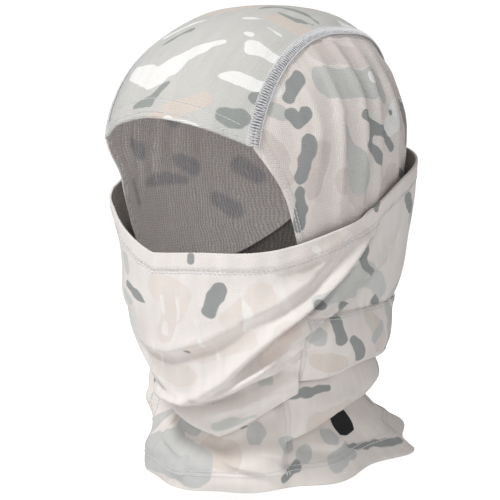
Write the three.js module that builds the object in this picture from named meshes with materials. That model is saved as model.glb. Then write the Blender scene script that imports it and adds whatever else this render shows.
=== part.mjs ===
// Camouflage balaclava, in the shape it has when worn: a hood with a face opening, a mask that pulls
// up over the nose, a collar that falls in a fold below the chin, and a neck skirt.
// Lengths are millimetres. +Z is up, the wearer looks along -Y, and +X is the wearer's left.
// Levels below are heights over the skirt's hem. The finished part is set down so that its origin
// is on the crown's inner face, where it rests on the head.
// Each cloth panel is one closed sheet of even thickness that ends just short of the seam it is
// sewn along, and the seam's thread lies over that joint as a sheet of its own.
import * as THREE from "three";

// ---- Driving dimensions ----
const clothWall = 1.2; // knitted cloth with its turned-in edges
const threadWall = 0.6; // overlock and cover stitching
const seamGap = 0.5; // between two panels that one seam joins
const layerGap = 0.8; // between the hood and the band outside it
const threadLift = 0.45; // between a panel and the stitching over it

const hoodHalfBreadth = 80; // over the ears
const hoodFront = 102; // from the ears' plane to the forehead
const hoodBack = 109; // from the ears' plane to the back of the head
const hoodTop = 282;
const hoodWidestLevel = 190;
const hoodTaperDepth = 150; // how far below the widest level the head's form would close
const hoodSquareness = 2.1; // exponent of the level sections
const crownSquareness = 2.3; // exponent of the upright sections
const crownLean = 13; // how far back the top of the head lies

const browLevel = 219; // face opening's edge at the middle of the forehead
const browDrop = 15; // how much lower that edge is where it meets the crown seam
const crownHalfAtBrow = 53;
const crownHalfAtTop = 50;
const crownHalfAtNape = 31;
const seamStitchWidth = 6;
const hoodRearEdge = 148; // lower edge of the crown panel, inside the band
const hoodSideEdge = 119; // lower edge of the side panels, inside the band
const openingAtMask = { y: -54, z: 150 }; // where the face opening's edge goes under the mask
const openingFoot = { y: -40, z: 119 }; // its lower end, inside the mask
const openingSidePoint = { y: -66, z: 175 }; // the edge between the brow and the mask

const maskFront = 85; // from the ears' plane to the nose
const maskSquareness = 2.5;
const bandDrape = 4; // how much looser the band lies at its lowest level than at its hem
const maskHemFront = 141; // the mask's upper hem on the nose
const maskHemSide = 165;
const maskHemBack = 195;
const maskCutFront = 95; // lower edge of the part of the mask that pulls down
const maskCutSide = 107;
const sideSeamAngle = THREE.MathUtils.degToRad(57); // from the middle of the front
const napeSeamSide = 106;
const napeSeamBack = 104;
const collarEdgeFront = 32; // the lower edge of the fold below the chin
const collarEdgeSide = 64;
const collarEdgeBack = 63;

const jawHalfBreadth = 74;
const jawFront = 83;
const jawBack = 87;
const jawLevel = 92;
const chinHalfBreadth = 66;
const chinFront = 77;
const chinBack = 82;
const chinLevel = 65;
const throatHalfBreadth = 61;
const throatFront = 67;
const throatBack = 83;
const throatLevel = 46;
const lipHalfBreadth = 65; // the fold's lower lip
const lipFront = 71;
const lipBack = 86;
const lipLevel = 26;

const skirtHalfBreadth = 73; // at the hem
const skirtFront = 73;
const skirtBack = 120;
const skirtRise = 14; // how much higher the hem is behind
const flareDrop = 4; // from the collar's lower edge to where the skirt starts to flare
const skirtClearance = 0.8; // between the neck tube and the collar that slides over it
const skirtTravel = 30; // how far the skirt draws down out of the collar
const tubeOverlap = 8; // neck tube still inside the collar when it is drawn out
const chinSquareness = 1.8; // exponent of the level sections, pointed in front
const backSquareness = 2.2;
const chinTuck = 4; // how far the chin panel runs up inside the mask
const tuckGap = 1.2; // between the chin panel's top and the mask outside it

const browStitchInset = 11; // from the face opening's edge to the stitching
const hemStitchInset = 9;
const hemStitchWidth = 2.4;
const threadEnd = 1; // from the end of one row of stitching to the next
const patchSize = 17; // plain printed mark
const patchAngle = THREE.MathUtils.degToRad(97);
const patchLevel = 36;
const patchWall = 0.4;
const labelWidth = 22;
const labelDrop = 30;
const labelWall = 0.5;

const deg = THREE.MathUtils.degToRad;
const lerp = THREE.MathUtils.lerp;
const smoothstep = THREE.MathUtils.smoothstep;

// ---- Sheets ----
// A closed sheet over surface(u, v, lift), with u and v from 0 to 1 and lift along the outward side.
// The sheet's inner face is at lift `from` and its outer face is at lift `from + wall`.
function sheet(surface, across, along, from, wall, closed = false) {
  const columns = closed ? across : across + 1;
  const rows = along + 1;
  const points = [];
  for (const lift of [from, from + wall])
    for (let j = 0; j < rows; j++)
      for (let i = 0; i < columns; i++) {
        const p = surface(i / across, j / along, lift);
        points.push(p.x, p.y, p.z);
      }
  const inner = (i, j) => j * columns + (i % columns);
  const outer = (i, j) => rows * columns + inner(i, j);
  const faces = [];
  const quad = (a, b, c, d) => faces.push(a, b, c, a, c, d);
  for (let j = 0; j < along; j++)
    for (let i = 0; i < across; i++) {
      quad(outer(i, j), outer(i + 1, j), outer(i + 1, j + 1), outer(i, j + 1));
      quad(inner(i, j), inner(i, j + 1), inner(i + 1, j + 1), inner(i + 1, j));
    }
  for (let i = 0; i < across; i++) {
    quad(inner(i, 0), inner(i + 1, 0), outer(i + 1, 0), outer(i, 0));
    quad(outer(i, along), outer(i + 1, along), inner(i + 1, along), inner(i, along));
  }
  if (!closed)
    for (let j = 0; j < along; j++) {
      quad(outer(0, j), outer(0, j + 1), inner(0, j + 1), inner(0, j));
      quad(inner(across, j), inner(across, j + 1), outer(across, j + 1), outer(across, j));
    }
  const geometry = new THREE.BufferGeometry();
  geometry.setAttribute("position", new THREE.Float32BufferAttribute(points, 3));
  geometry.setIndex(faces);
  geometry.computeVertexNormals();
  return geometry;
}

// The same sheet with its sides swapped over, for the wearer's right.
function mirrored(surface) {
  return (u, v, lift) => surface(1 - u, v, lift).multiply(new THREE.Vector3(-1, 1, 1));
}

// ---- The hood's form ----
// A rounded head, as a distance from its middle in any direction.
const hoodMiddle = new THREE.Vector3(0, 0, hoodWidestLevel);

function hoodPoint(direction, lift = 0) {
  const { x, y, z } = direction;
  const depth = y < 0 ? hoodFront : hoodBack;
  const level = Math.pow(
    Math.pow(Math.abs(x) / hoodHalfBreadth, hoodSquareness) +
      Math.pow(Math.abs(y) / depth, hoodSquareness),
    1 / hoodSquareness,
  );
  const upright = z > 0 ? crownSquareness : 2;
  const height = z > 0 ? hoodTop - hoodWidestLevel : hoodTaperDepth;
  const sum = Math.pow(level, upright) + Math.pow(Math.abs(z) / height, upright);
  const distance = Math.pow(sum, -1 / upright) - clothWall;
  const p = direction.clone().multiplyScalar(distance + lift);
  p.y += crownLean * Math.pow(Math.max(0, p.z) / height, 2);
  return p.add(hoodMiddle);
}

// A direction by its lean to the side and its turn over the crown, from 0 in front to PI behind.
function hoodDirection(lean, turn) {
  const side = Math.cos(lean);
  return new THREE.Vector3(Math.sin(lean), -side * Math.cos(turn), side * Math.sin(turn));
}

// The value between low and high at which rising(value) reaches target.
function solve(rising, target, low, high) {
  for (let i = 0; i < 40; i++) {
    const middle = (low + high) / 2;
    if (rising(middle) < target) low = middle;
    else high = middle;
  }
  return (low + high) / 2;
}

const leanAt = (x, turn) =>
  solve((lean) => hoodPoint(hoodDirection(lean, turn), clothWall).x, x, -deg(89), deg(89));

// The turn at which the form, at x beside the middle, is at a level in front or behind.
function turnAtLevel(x, z, behind) {
  const height = (turn) => {
    const real = behind ? Math.PI - turn : turn;
    return hoodPoint(hoodDirection(leanAt(x, real), real), clothWall).z;
  };
  const turn = solve(height, z, -deg(45), deg(89));
  return behind ? Math.PI - turn : turn;
}

// Half the crown panel's width, which narrows from the brow over the top to the nape.
function crownHalf(turn) {
  return turn < Math.PI / 2
    ? lerp(crownHalfAtBrow, crownHalfAtTop, smoothstep(turn, deg(20), Math.PI / 2))
    : lerp(crownHalfAtTop, crownHalfAtNape, smoothstep(turn, Math.PI / 2, Math.PI));
}

const browEdge = (share) => browLevel - browDrop * share * share;
const browTurn = (share) => turnAtLevel(share * crownHalfAtBrow, browEdge(share), false);
const crownFrontTurn = browTurn(1);
const crownRearTurn = turnAtLevel(crownHalfAtNape, hoodRearEdge, true);

function crownSurface(u, v, lift) {
  const share = 2 * u - 1;
  const turn = lerp(browTurn(Math.abs(share)), crownRearTurn, v);
  const half = crownHalf(turn) - seamGap / 2;
  return hoodPoint(hoodDirection(leanAt(share * half, turn), turn), lift);
}

// A point of the form, seen from the side, as a direction: y and z are given and x is found.
function sidePoint(y, z) {
  const towards = (x) => new THREE.Vector3(x, y, z - hoodWidestLevel);
  const beyond = (x) => {
    const surface = hoodPoint(towards(x).normalize(), clothWall);
    return towards(x).length() - surface.distanceTo(hoodMiddle);
  };
  return towards(solve(beyond, 0, 0, 2 * hoodHalfBreadth)).normalize();
}

const seamDirection = (turn, beside) => hoodDirection(leanAt(crownHalf(turn) + beside, turn), turn);

// A patch between four edge curves, whose points are directions from the hood's middle.
function between(top, bottom, front, rear) {
  return (u, v, lift) => {
    const p = new THREE.Vector3()
      .addScaledVector(top(u), 1 - v)
      .addScaledVector(bottom(u), v)
      .addScaledVector(front(v), 1 - u)
      .addScaledVector(rear(v), u)
      .addScaledVector(top(0), -(1 - u) * (1 - v))
      .addScaledVector(top(1), -u * (1 - v))
      .addScaledVector(bottom(0), -(1 - u) * v)
      .addScaledVector(bottom(1), -u * v);
    return hoodPoint(p.normalize(), lift);
  };
}

// The side panel's four edges. Its upper edge follows the crown panel to the back of the head.
const sideTopTurn = turnAtLevel(crownHalfAtNape, lerp(hoodRearEdge, hoodWidestLevel, 0.5), true);
const rearFoot = seamDirection(crownRearTurn, seamGap / 2);
const openingCorner = seamDirection(crownFrontTurn, seamGap / 2);
const openingMeetsMask = sidePoint(openingAtMask.y, openingAtMask.z);
const openingAngle = Math.atan2(openingMeetsMask.x, -openingMeetsMask.y);
const openingCurve = new THREE.CatmullRomCurve3([
  openingCorner,
  sidePoint(openingSidePoint.y, openingSidePoint.z),
  openingMeetsMask,
  sidePoint(openingFoot.y, openingFoot.z),
]);
const sideEdgeCurve = new THREE.CatmullRomCurve3([
  openingCurve.getPoint(1),
  sidePoint(0, hoodSideEdge),
  sidePoint(hoodBack / 2, hoodSideEdge),
  rearFoot,
]);
const sideSurface = between(
  (u) => seamDirection(lerp(crownFrontTurn, sideTopTurn, u), seamGap / 2),
  (u) => sideEdgeCurve.getPoint(u),
  (v) => openingCurve.getPoint(v),
  (v) => seamDirection(lerp(sideTopTurn, crownRearTurn, v), seamGap / 2),
);
const leftSide = (u, v, lift) => sideSurface(1 - u, v, lift);

// Flatlock stitching over the seam between the crown and a side panel.
function crownStitch(u, v, lift) {
  const turn = lerp(crownFrontTurn + deg(0.6), crownRearTurn - deg(1), v);
  return hoodPoint(seamDirection(turn, (u - 0.5) * seamStitchWidth), lift);
}

// Cover stitching across the crown panel, a constant way up from the brow edge.
function browStitch(u, v, lift) {
  const share = lerp(-1, 1, u);
  const above = (browStitchInset + v * hemStitchWidth) / hoodFront;
  const turn = browTurn(Math.abs(share)) + above;
  const half = crownHalf(turn) - seamStitchWidth / 2 - seamGap;
  return hoodPoint(hoodDirection(leanAt(share * half, turn), turn), lift);
}

// ---- The collar's form: mask, band, chin and neck ----
// Each level is a rounded ring with its own half breadth, front and back.
function hoodShare(z) {
  const down = Math.max(0, hoodWidestLevel - z) / hoodTaperDepth;
  return Math.sqrt(Math.max(0.01, 1 - down * down));
}

const bandLevels = [110, 125, 140, 155, 170, 185, 200];
const clearOfHood = layerGap + clothWall;
const hoodRing = (z) => ({
  half: hoodHalfBreadth * hoodShare(z),
  front: hoodFront * hoodShare(z),
  back: hoodBack * hoodShare(z),
  square: hoodSquareness,
});

function bandKnot(z) {
  const down = Math.max(0, 1 - (z - bandLevels[0]) / (hoodWidestLevel - bandLevels[0]));
  const loose = clearOfHood + bandDrape * Math.pow(down, 3);
  return {
    z,
    half: hoodRing(z).half + loose,
    front: maskFront,
    back: hoodRing(z).back + loose,
    square: maskSquareness,
  };
}

const collarKnots = [
  { z: lipLevel, half: lipHalfBreadth, front: lipFront, back: lipBack, square: chinSquareness },
  { z: throatLevel, half: throatHalfBreadth, front: throatFront, back: throatBack, square: chinSquareness },
  { z: chinLevel, half: chinHalfBreadth, front: chinFront, back: chinBack, square: chinSquareness },
  { z: jawLevel, half: jawHalfBreadth, front: jawFront, back: jawBack, square: hoodSquareness },
  ...bandLevels.map(bandKnot),
];

// A smooth curve through the knots' values, by level.
function throughKnots(knots, key, z) {
  const last = knots.length - 1;
  const at = Math.min(Math.max(knots.findIndex((k) => k.z > z) - 1, 0), last - 1);
  const k = z >= knots[last].z ? last - 1 : at;
  const slope = (i) => {
    const a = knots[Math.max(i - 1, 0)];
    const b = knots[Math.min(i + 1, last)];
    return (b[key] - a[key]) / (b.z - a.z);
  };
  const span = knots[k + 1].z - knots[k].z;
  const t = Math.min(Math.max((z - knots[k].z) / span, 0), 1);
  const h = t * t * (3 - 2 * t);
  return (
    lerp(knots[k][key], knots[k + 1][key], h) +
    span * (t * (1 - t) * (1 - t) * slope(k) - t * t * (1 - t) * slope(k + 1))
  );
}

// Angles behind run on past PI, and a level is the same to the left and the right.
const folded = (level) => (angle) => level(angle > Math.PI ? 2 * Math.PI - angle : angle);

// The distance from the neck's axis to a ring, in the direction of angle, from 0 in front.
function ringRadius(ring, angle) {
  const ahead = Math.cos(angle) > 0;
  const power = ahead ? ring.square : Math.max(ring.square, backSquareness);
  const depth = ahead ? ring.front : ring.back;
  const sum =
    Math.pow(Math.abs(Math.sin(angle)) / ring.half, power) +
    Math.pow(Math.abs(Math.cos(angle)) / depth, power);
  return Math.pow(sum, -1 / power);
}

const ringPoint = (radius, angle, z) =>
  new THREE.Vector3(radius * Math.sin(angle), -radius * Math.cos(angle), z);

function collarRing(z) {
  return {
    half: throughKnots(collarKnots, "half", z),
    front: throughKnots(collarKnots, "front", z),
    back: throughKnots(collarKnots, "back", z),
    square: throughKnots(collarKnots, "square", z),
  };
}

// Behind the face opening's edge, the collar's form always clears the hood inside it.
function collarPoint(angle, z, lift) {
  const fromFront = folded(Math.abs)(angle);
  const covered = smoothstep(fromFront, openingAngle - deg(12), openingAngle);
  const form = ringRadius(collarRing(z), angle);
  const needed = ringRadius(hoodRing(z), angle) + clearOfHood;
  const radius = lerp(form, Math.max(form, needed), covered);
  return ringPoint(radius - clothWall + lift, angle, z);
}

// A level that runs smoothly from its value in front, over the sides, to its value behind.
function aroundLevel(front, side, back) {
  const middle = (front + back) / 4 + side / 2;
  const tilt = (front - back) / 2;
  const saddle = (front + back) / 4 - side / 2;
  return (angle) => middle + tilt * Math.cos(angle) + saddle * Math.cos(2 * angle);
}

const maskHem = aroundLevel(maskHemFront, maskHemSide, maskHemBack);
const collarEdge = aroundLevel(collarEdgeFront, collarEdgeSide, collarEdgeBack);
const maskCut = (angle) =>
  lerp(maskCutFront, maskCutSide, Math.pow(Math.abs(angle) / sideSeamAngle, 2));
const napeSeam = (angle) =>
  lerp(napeSeamSide, napeSeamBack, smoothstep(Math.abs(angle), sideSeamAngle, Math.PI));
const seamAngle = seamGap / 2 / hoodHalfBreadth; // a seam's half gap, as an angle

// A panel of the collar's form between two angles and two levels that follow the angle.
function collarPanel(fromAngle, toAngle, low, high) {
  return (u, v, lift) => {
    const angle = lerp(fromAngle, toAngle, u);
    return collarPoint(angle, lerp(low(angle), high(angle), v), lift);
  };
}

const frontEdge = sideSeamAngle - seamAngle;
const backEdge = sideSeamAngle + seamAngle;
const aroundBack = 2 * Math.PI - backEdge;

const maskPanel = collarPanel(-frontEdge, frontEdge, maskCut, maskHem);
const rearBand = collarPanel(
  backEdge,
  aroundBack,
  (a) => folded(napeSeam)(a) + seamGap / 2,
  folded(maskHem),
);
const napePanel = collarPanel(
  backEdge,
  aroundBack,
  folded(collarEdge),
  (a) => folded(napeSeam)(a) - seamGap / 2,
);

// The chin panel's top runs up inside the mask, which slides down over it.
function chinPanel(u, v, lift) {
  const angle = lerp(-frontEdge, frontEdge, u);
  const z = lerp(collarEdge(angle), maskCut(angle) + chinTuck, v);
  const inward = smoothstep(z, maskCut(angle) - 4 * chinTuck, maskCut(angle) - clothWall);
  const tuck = (clothWall + tuckGap) * inward;
  return collarPoint(angle, z, lift - tuck);
}

// Cover stitching a constant way below a hem.
function hemStitch(fromAngle, toAngle, level) {
  const low = (a) => folded(level)(a) - hemStitchInset - hemStitchWidth;
  const high = (a) => folded(level)(a) - hemStitchInset;
  return collarPanel(fromAngle, toAngle, low, high);
}

const maskStitch = hemStitch(-frontEdge, frontEdge, maskHem);
const bandStitch = hemStitch(backEdge, aroundBack, maskHem);
const napeStitch = collarPanel(
  backEdge,
  aroundBack,
  (a) => folded(napeSeam)(a) - hemStitchWidth / 2,
  (a) => folded(napeSeam)(a) + hemStitchWidth / 2,
);

// Cover stitching down a side seam of one of the forms, between two levels.
function seamStitch(point, low, high) {
  const half = hemStitchWidth / 2 / hoodHalfBreadth;
  return (u, v, lift) => point(sideSeamAngle + lerp(-half, half, u), lerp(low, high, v), lift);
}

const neckSeamStitch = seamStitch(
  collarPoint,
  collarEdge(sideSeamAngle) + threadEnd,
  napeSeam(sideSeamAngle) - hemStitchWidth / 2 - threadEnd,
);

// ---- The skirt's form: a neck tube inside the collar that flares to the hem ----
const tubeInset = clothWall + skirtClearance;
const tubeRing = {
  half: Math.min(throatHalfBreadth, chinHalfBreadth) - tubeInset,
  front: Math.min(throatFront, chinFront, lipFront) - tubeInset,
  back: Math.min(throatBack, chinBack) - tubeInset,
  square: chinSquareness,
};
const hemRing = { half: skirtHalfBreadth, front: skirtFront, back: skirtBack, square: chinSquareness };
const tubeTop = (angle) => collarEdge(angle) + skirtTravel + tubeOverlap;
const flareTop = (angle) => collarEdge(angle) - flareDrop;
const hemLevel = (angle) => (skirtRise * (1 - Math.cos(angle))) / 2; // rises to the back

function skirtPoint(angle, z, lift) {
  const share = smoothstep(z, hemLevel(angle), flareTop(angle));
  const flare = lerp(ringRadius(hemRing, angle), ringRadius(tubeRing, angle), Math.sqrt(share));
  return ringPoint(flare - clothWall + lift, angle, z);
}

function skirtPanel(fromAngle, toAngle) {
  return (u, v, lift) => {
    const angle = lerp(fromAngle, toAngle, u);
    return skirtPoint(angle, lerp(hemLevel(angle), folded(tubeTop)(angle), v), lift);
  };
}

function skirtHemStitch(u, v, lift) {
  const angle = 2 * Math.PI * u;
  return skirtPoint(angle, hemLevel(angle) + hemStitchInset + v * hemStitchWidth, lift);
}

const skirtSeamStitch = seamStitch(
  skirtPoint,
  hemLevel(sideSeamAngle) + hemStitchInset + hemStitchWidth + threadEnd,
  collarEdge(sideSeamAngle) - threadEnd,
);

// A plain round printed mark, lying on the skirt beside the wearer's left shoulder.
function printedMark(u, v, lift) {
  const angle = patchAngle + ((u - 0.5) * patchSize) / ringRadius(hemRing, patchAngle);
  const bow = Math.sqrt(Math.max(0.12, 1 - Math.pow(2 * u - 1, 2)));
  return skirtPoint(angle, patchLevel + (v - 0.5) * patchSize * bow, lift);
}

// The blank care label, sewn flat to the inside of the neck tube.
function careLabel(u, v, lift) {
  const angle = Math.PI + ((u - 0.5) * labelWidth) / tubeRing.back;
  return skirtPoint(angle, tubeTop(Math.PI) - threadEnd - (1 - v) * labelDrop, lift);
}

// ---- Materials ----
const cloth = (color) => new THREE.MeshStandardMaterial({ color, roughness: 0.9, metalness: 0 });
const camoCrown = cloth(0xb9bab4);
const camoSide = cloth(0xd8d0cb);
const camoMask = cloth(0xe9e3dd);
const camoNeck = cloth(0xe2dcd7);
const paleThread = cloth(0xd9dadb);
const blackInk = cloth(0x1d1d1e);
const labelCloth = cloth(0xf2f2f0);

// ---- The parts ----
const balaclava = new THREE.Group();

function add(name, geometry, material) {
  geometry.translate(0, 0, clothWall - hoodTop);
  const mesh = new THREE.Mesh(geometry, material);
  mesh.name = name;
  balaclava.add(mesh);
}

const panel = (surface, across, along) => sheet(surface, across, along, 0, clothWall);
const thread = (surface, across, along, closed) =>
  sheet(surface, across, along, clothWall + threadLift, threadWall, closed);

add("crown_panel", panel(crownSurface, 10, 22), camoCrown);
add("left_side_panel", panel(leftSide, 18, 10), camoSide);
add("right_side_panel", panel(mirrored(leftSide), 18, 10), camoSide);
add("left_crown_seam", thread(crownStitch, 2, 36), paleThread);
add("right_crown_seam", thread(mirrored(crownStitch), 2, 36), paleThread);
add("brow_stitch", thread(browStitch, 20, 1), paleThread);

add("mask_panel", panel(maskPanel, 20, 6), camoMask);
add("mask_hem_stitch", thread(maskStitch, 24, 1), paleThread);

add("rear_band", panel(rearBand, 36, 6), camoMask);
add("rear_band_hem_stitch", thread(bandStitch, 36, 1), paleThread);
add("nape_seam_stitch", thread(napeStitch, 36, 1), paleThread);
add("chin_panel", panel(chinPanel, 20, 10), camoMask);
add("nape_panel", panel(napePanel, 36, 4), camoNeck);
add("left_neck_seam", thread(neckSeamStitch, 1, 8), paleThread);
add("right_neck_seam", thread(mirrored(neckSeamStitch), 1, 8), paleThread);

add("skirt_front", panel(skirtPanel(-frontEdge, frontEdge), 20, 8), camoNeck);
add("skirt_back", panel(skirtPanel(backEdge, aroundBack), 40, 8), camoNeck);
add("skirt_hem_stitch", thread(skirtHemStitch, 60, 1, true), paleThread);
add("left_skirt_seam", thread(skirtSeamStitch, 1, 8), paleThread);
add("right_skirt_seam", thread(mirrored(skirtSeamStitch), 1, 8), paleThread);
add("printed_mark", sheet(printedMark, 8, 4, clothWall + threadLift, patchWall), blackInk);
add("care_label", sheet(careLabel, 4, 4, -threadLift - labelWall, labelWall), labelCloth);

export default balaclava;
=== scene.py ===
"""A camouflage balaclava in its worn shape: hood, pulled-up mask, folded collar and neck skirt.

Cloth shapes are worked out in millimetres, with levels counted up from the skirt's hem, and set down
in metres in the row frame. Each cloth is a closed sheet whose reverse has a finish of its own.
"""

import bpy
import numpy as np
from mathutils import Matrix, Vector


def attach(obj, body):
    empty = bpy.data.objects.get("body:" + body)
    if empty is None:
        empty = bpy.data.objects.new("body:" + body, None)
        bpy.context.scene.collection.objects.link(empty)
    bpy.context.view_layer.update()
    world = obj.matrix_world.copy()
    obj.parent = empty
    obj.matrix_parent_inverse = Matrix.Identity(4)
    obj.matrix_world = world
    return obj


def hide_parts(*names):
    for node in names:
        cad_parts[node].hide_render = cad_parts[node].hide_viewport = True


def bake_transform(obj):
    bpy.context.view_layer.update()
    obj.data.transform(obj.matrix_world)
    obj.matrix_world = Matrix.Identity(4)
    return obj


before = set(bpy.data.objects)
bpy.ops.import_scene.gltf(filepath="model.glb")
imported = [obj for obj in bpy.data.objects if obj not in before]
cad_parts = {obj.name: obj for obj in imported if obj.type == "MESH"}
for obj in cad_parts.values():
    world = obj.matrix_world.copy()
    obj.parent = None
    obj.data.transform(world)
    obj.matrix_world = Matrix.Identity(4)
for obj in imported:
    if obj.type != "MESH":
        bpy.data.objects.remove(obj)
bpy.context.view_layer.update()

# ---- The object's sizes, in millimetres and degrees ----
TOP_LEVEL = 280.8
CLOTH = 1.2
DEG = np.pi / 180
HOOD = {"half": 80, "front": 102, "back": 109, "top": 92, "taper": 150, "middle": 190}
HOOD_SQUARE, CROWN_SQUARE = 2.1, 2.3  # exponents of the level and of the upright sections
CROWN_LEAN = 13  # how far back the top of the head lies
CROWN_HALF = {"brow": 53, "top": 50, "nape": 31}
BROW_LEVEL, BROW_DROP = 219, 15
SIDE_SEAM = 57 * DEG
LIP_CURL = 4.2
HOOD_FOOT, CROWN_FOOT = 119, 148  # lower edges of the side cloths and of the crown cloth
FACE_EDGE = ((-63.5, 178), (-53, 150), (-40, HOOD_FOOT))  # forward and level, down the opening's side
SEAM_EDGE = 0.2  # from the crown seam's line to a cloth's edge
BROW_HEM, OPENING_HEM, MASK_HEM, SKIRT_HEM = 12.5, 7.5, 10.2, 10.0  # how deep each hem is turned
HOOD_CENTRE = (0, 0, HOOD["middle"])


# ---- Small numeric helpers ----
def lerp(a, b, t):
    return a + (b - a) * t


def smooth(x, low, high):
    t = np.clip((x - low) / (high - low), 0, 1)
    return t * t * (3 - 2 * t)


def hump(x, width):
    return np.exp(-((x / width) ** 2))


def bisect(rising, target, low, high, rounds=28):
    target = np.asarray(target, float)
    low, high = np.full(target.shape, float(low)), np.full(target.shape, float(high))
    for _ in range(rounds):
        middle = (low + high) / 2
        short = rising(middle) < target
        low, high = np.where(short, middle, low), np.where(short, high, middle)
    return (low + high) / 2


def unit(v):
    return v / np.maximum(np.linalg.norm(v, axis=-1, keepdims=True), 1e-12)


def ripple(x, y, seed, length):
    """Smooth uneven relief between about -1 and 1, with humps about length across."""
    rng = np.random.default_rng(seed)
    total = np.zeros(np.broadcast(x, y).shape)
    for k in range(7):
        turn, phase = rng.uniform(0, np.pi), rng.uniform(0, 2 * np.pi)
        rate = 2 * np.pi / length * rng.uniform(0.6, 1.5)
        total = total + np.sin((x * np.cos(turn) + y * np.sin(turn)) * rate + phase)
    return total / 4


def through(knots, t):
    """A smooth curve through knots[k], for t from 0 to 1."""
    knots = np.asarray(knots, float)
    ends = np.concatenate([2 * knots[:1] - knots[1:2], knots, 2 * knots[-1:] - knots[-2:-1]])
    t = np.clip(np.asarray(t, float), 0, 1) * (len(knots) - 1)
    k = np.minimum(t.astype(int), len(knots) - 2)
    f = (t - k).reshape(t.shape + (1,) * (knots.ndim - 1))
    a, b, c, d = (ends[k + i] for i in range(4))
    return 0.5 * (2 * b + (c - a) * f + (2 * a - 5 * b + 4 * c - d) * f**2 + (3 * b - a - 3 * c + d) * f**3)


def along_line(x, y, line):
    """Distance to a line of points, the side of it (+1 above), and the share of its length."""
    line = np.asarray(line, float)
    steps = np.linalg.norm(np.diff(line, axis=0), axis=1)
    starts = np.concatenate([[0], np.cumsum(steps)])
    best = np.full(np.shape(x), 1e9)
    side, share = np.ones(np.shape(x)), np.zeros(np.shape(x))
    for k in range(len(line) - 1):
        d = line[k + 1] - line[k]
        t = np.clip(((x - line[k, 0]) * d[0] + (y - line[k, 1]) * d[1]) / max(d @ d, 1e-9), 0, 1)
        dx, dy = x - line[k, 0] - t * d[0], y - line[k, 1] - t * d[1]
        away = np.hypot(dx, dy)
        near = away < best
        best = np.where(near, away, best)
        side = np.where(near, np.sign(dy * abs(d[0]) - dx * d[1] * np.sign(d[0] or 1)), side)
        share = np.where(near, (starts[k] + t * steps[k]) / starts[-1], share)
    return best, np.where(side == 0, 1, side), share


# ---- The hood's form ----
def hood_point(direction, lift=CLOTH):
    """The point lift millimetres over the hood's inner form, in a direction from its middle."""
    x, y, z = (direction[..., k] for k in range(3))
    depth = np.where(y < 0, HOOD["front"], HOOD["back"])
    level = (np.abs(x / HOOD["half"]) ** HOOD_SQUARE + np.abs(y / depth) ** HOOD_SQUARE) ** (1 / HOOD_SQUARE)
    upright = np.where(z > 0, CROWN_SQUARE, 2.0)
    height = np.where(z > 0, HOOD["top"], HOOD["taper"])
    distance = (level**upright + np.abs(z / height) ** upright) ** (-1 / upright) - CLOTH
    p = direction * (distance + lift)[..., None]
    p[..., 1] += CROWN_LEAN * (np.maximum(0, p[..., 2]) / height) ** 2
    p[..., 2] += HOOD["middle"]
    return p


def hood_direction(lean, turn):
    """A direction by its lean to the wearer's left and its turn from the forehead up and back."""
    side = np.cos(lean)
    return np.stack([np.sin(lean), -side * np.cos(turn), side * np.sin(turn)], -1)


def lean_at(x, turn):
    """The lean at which the hood's surface lies x across, at a turn."""
    x, turn = np.broadcast_arrays(np.asarray(x, float), np.asarray(turn, float))
    return bisect(lambda lean: hood_point(hood_direction(lean, turn))[..., 0], x, -89 * DEG, 89 * DEG)


def turn_at_level(x, z, behind=False):
    """The turn at which the surface x across has level z, in front or behind."""
    x, z = np.broadcast_arrays(np.asarray(x, float), np.asarray(z, float))

    def height(turn):
        real = np.pi - turn if behind else turn
        return hood_point(hood_direction(lean_at(x, real), real))[..., 2]

    turn = bisect(height, z, -45 * DEG, 89 * DEG)
    return np.pi - turn if behind else turn


def crown_half(turn):
    """Half the crown cloth's breadth, from the brow over the top to the nape."""
    front = lerp(CROWN_HALF["brow"], CROWN_HALF["top"], smooth(turn, 20 * DEG, np.pi / 2))
    rear = lerp(CROWN_HALF["top"], CROWN_HALF["nape"], smooth(turn, np.pi / 2, np.pi))
    return np.where(turn < np.pi / 2, front, rear)


def brow_turn(share):
    share = np.abs(np.asarray(share, float))
    return turn_at_level(share * CROWN_HALF["brow"], BROW_LEVEL - BROW_DROP * share**2)


def seam_direction(turn, beside):
    """Along the crown seam, a few millimetres beside its line."""
    return hood_direction(lean_at(crown_half(turn) + beside, turn), turn)


def side_direction(y, z):
    """The direction of the hood's side at a place forward or back and a level."""
    y, z = np.float64(y), np.float64(z)

    def beyond(x):
        towards = np.stack([x, np.full(x.shape, y), np.full(x.shape, z - HOOD["middle"])], -1)
        surface = hood_point(unit(towards)) - np.array([0, 0, HOOD["middle"]])
        return np.linalg.norm(towards, axis=-1) - np.linalg.norm(surface, axis=-1)

    x = bisect(beyond, np.zeros(1), 0, 160)[0]
    return unit(np.array([x, y, z - HOOD["middle"]]))


def folded(angle):
    """The same angle, between -180 and 180 degrees."""
    return np.arctan2(np.sin(angle), np.cos(angle))


# ---- The collar's form: mask, band, chin and neck ----
def hood_share(z):
    """How much of its full breadth the hood keeps at a level below its middle."""
    down = np.maximum(0, HOOD["middle"] - z) / HOOD["taper"]
    return np.sqrt(np.maximum(0.01, 1 - down * down))


def band_knot(z):
    """The ring of the band round the head, which lies a little looser the lower it is."""
    down = max(0, 1 - (z - 110) / 80)
    loose = 2 + 4 * down**3
    share = float(hood_share(z))
    return [z, HOOD["half"] * share + loose, 85, HOOD["back"] * share + loose, 2.5]


COLLAR = np.array(
    [
        [26, 65, 71, 86, 1.8],
        [46, 61, 67, 83, 1.8],
        [65, 66, 77, 82, 1.8],
        [92, 74, 83, 87, 2.1],
        *[band_knot(z) for z in (110, 125, 140, 155, 170, 185, 200, 215)],
    ]
)


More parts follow.
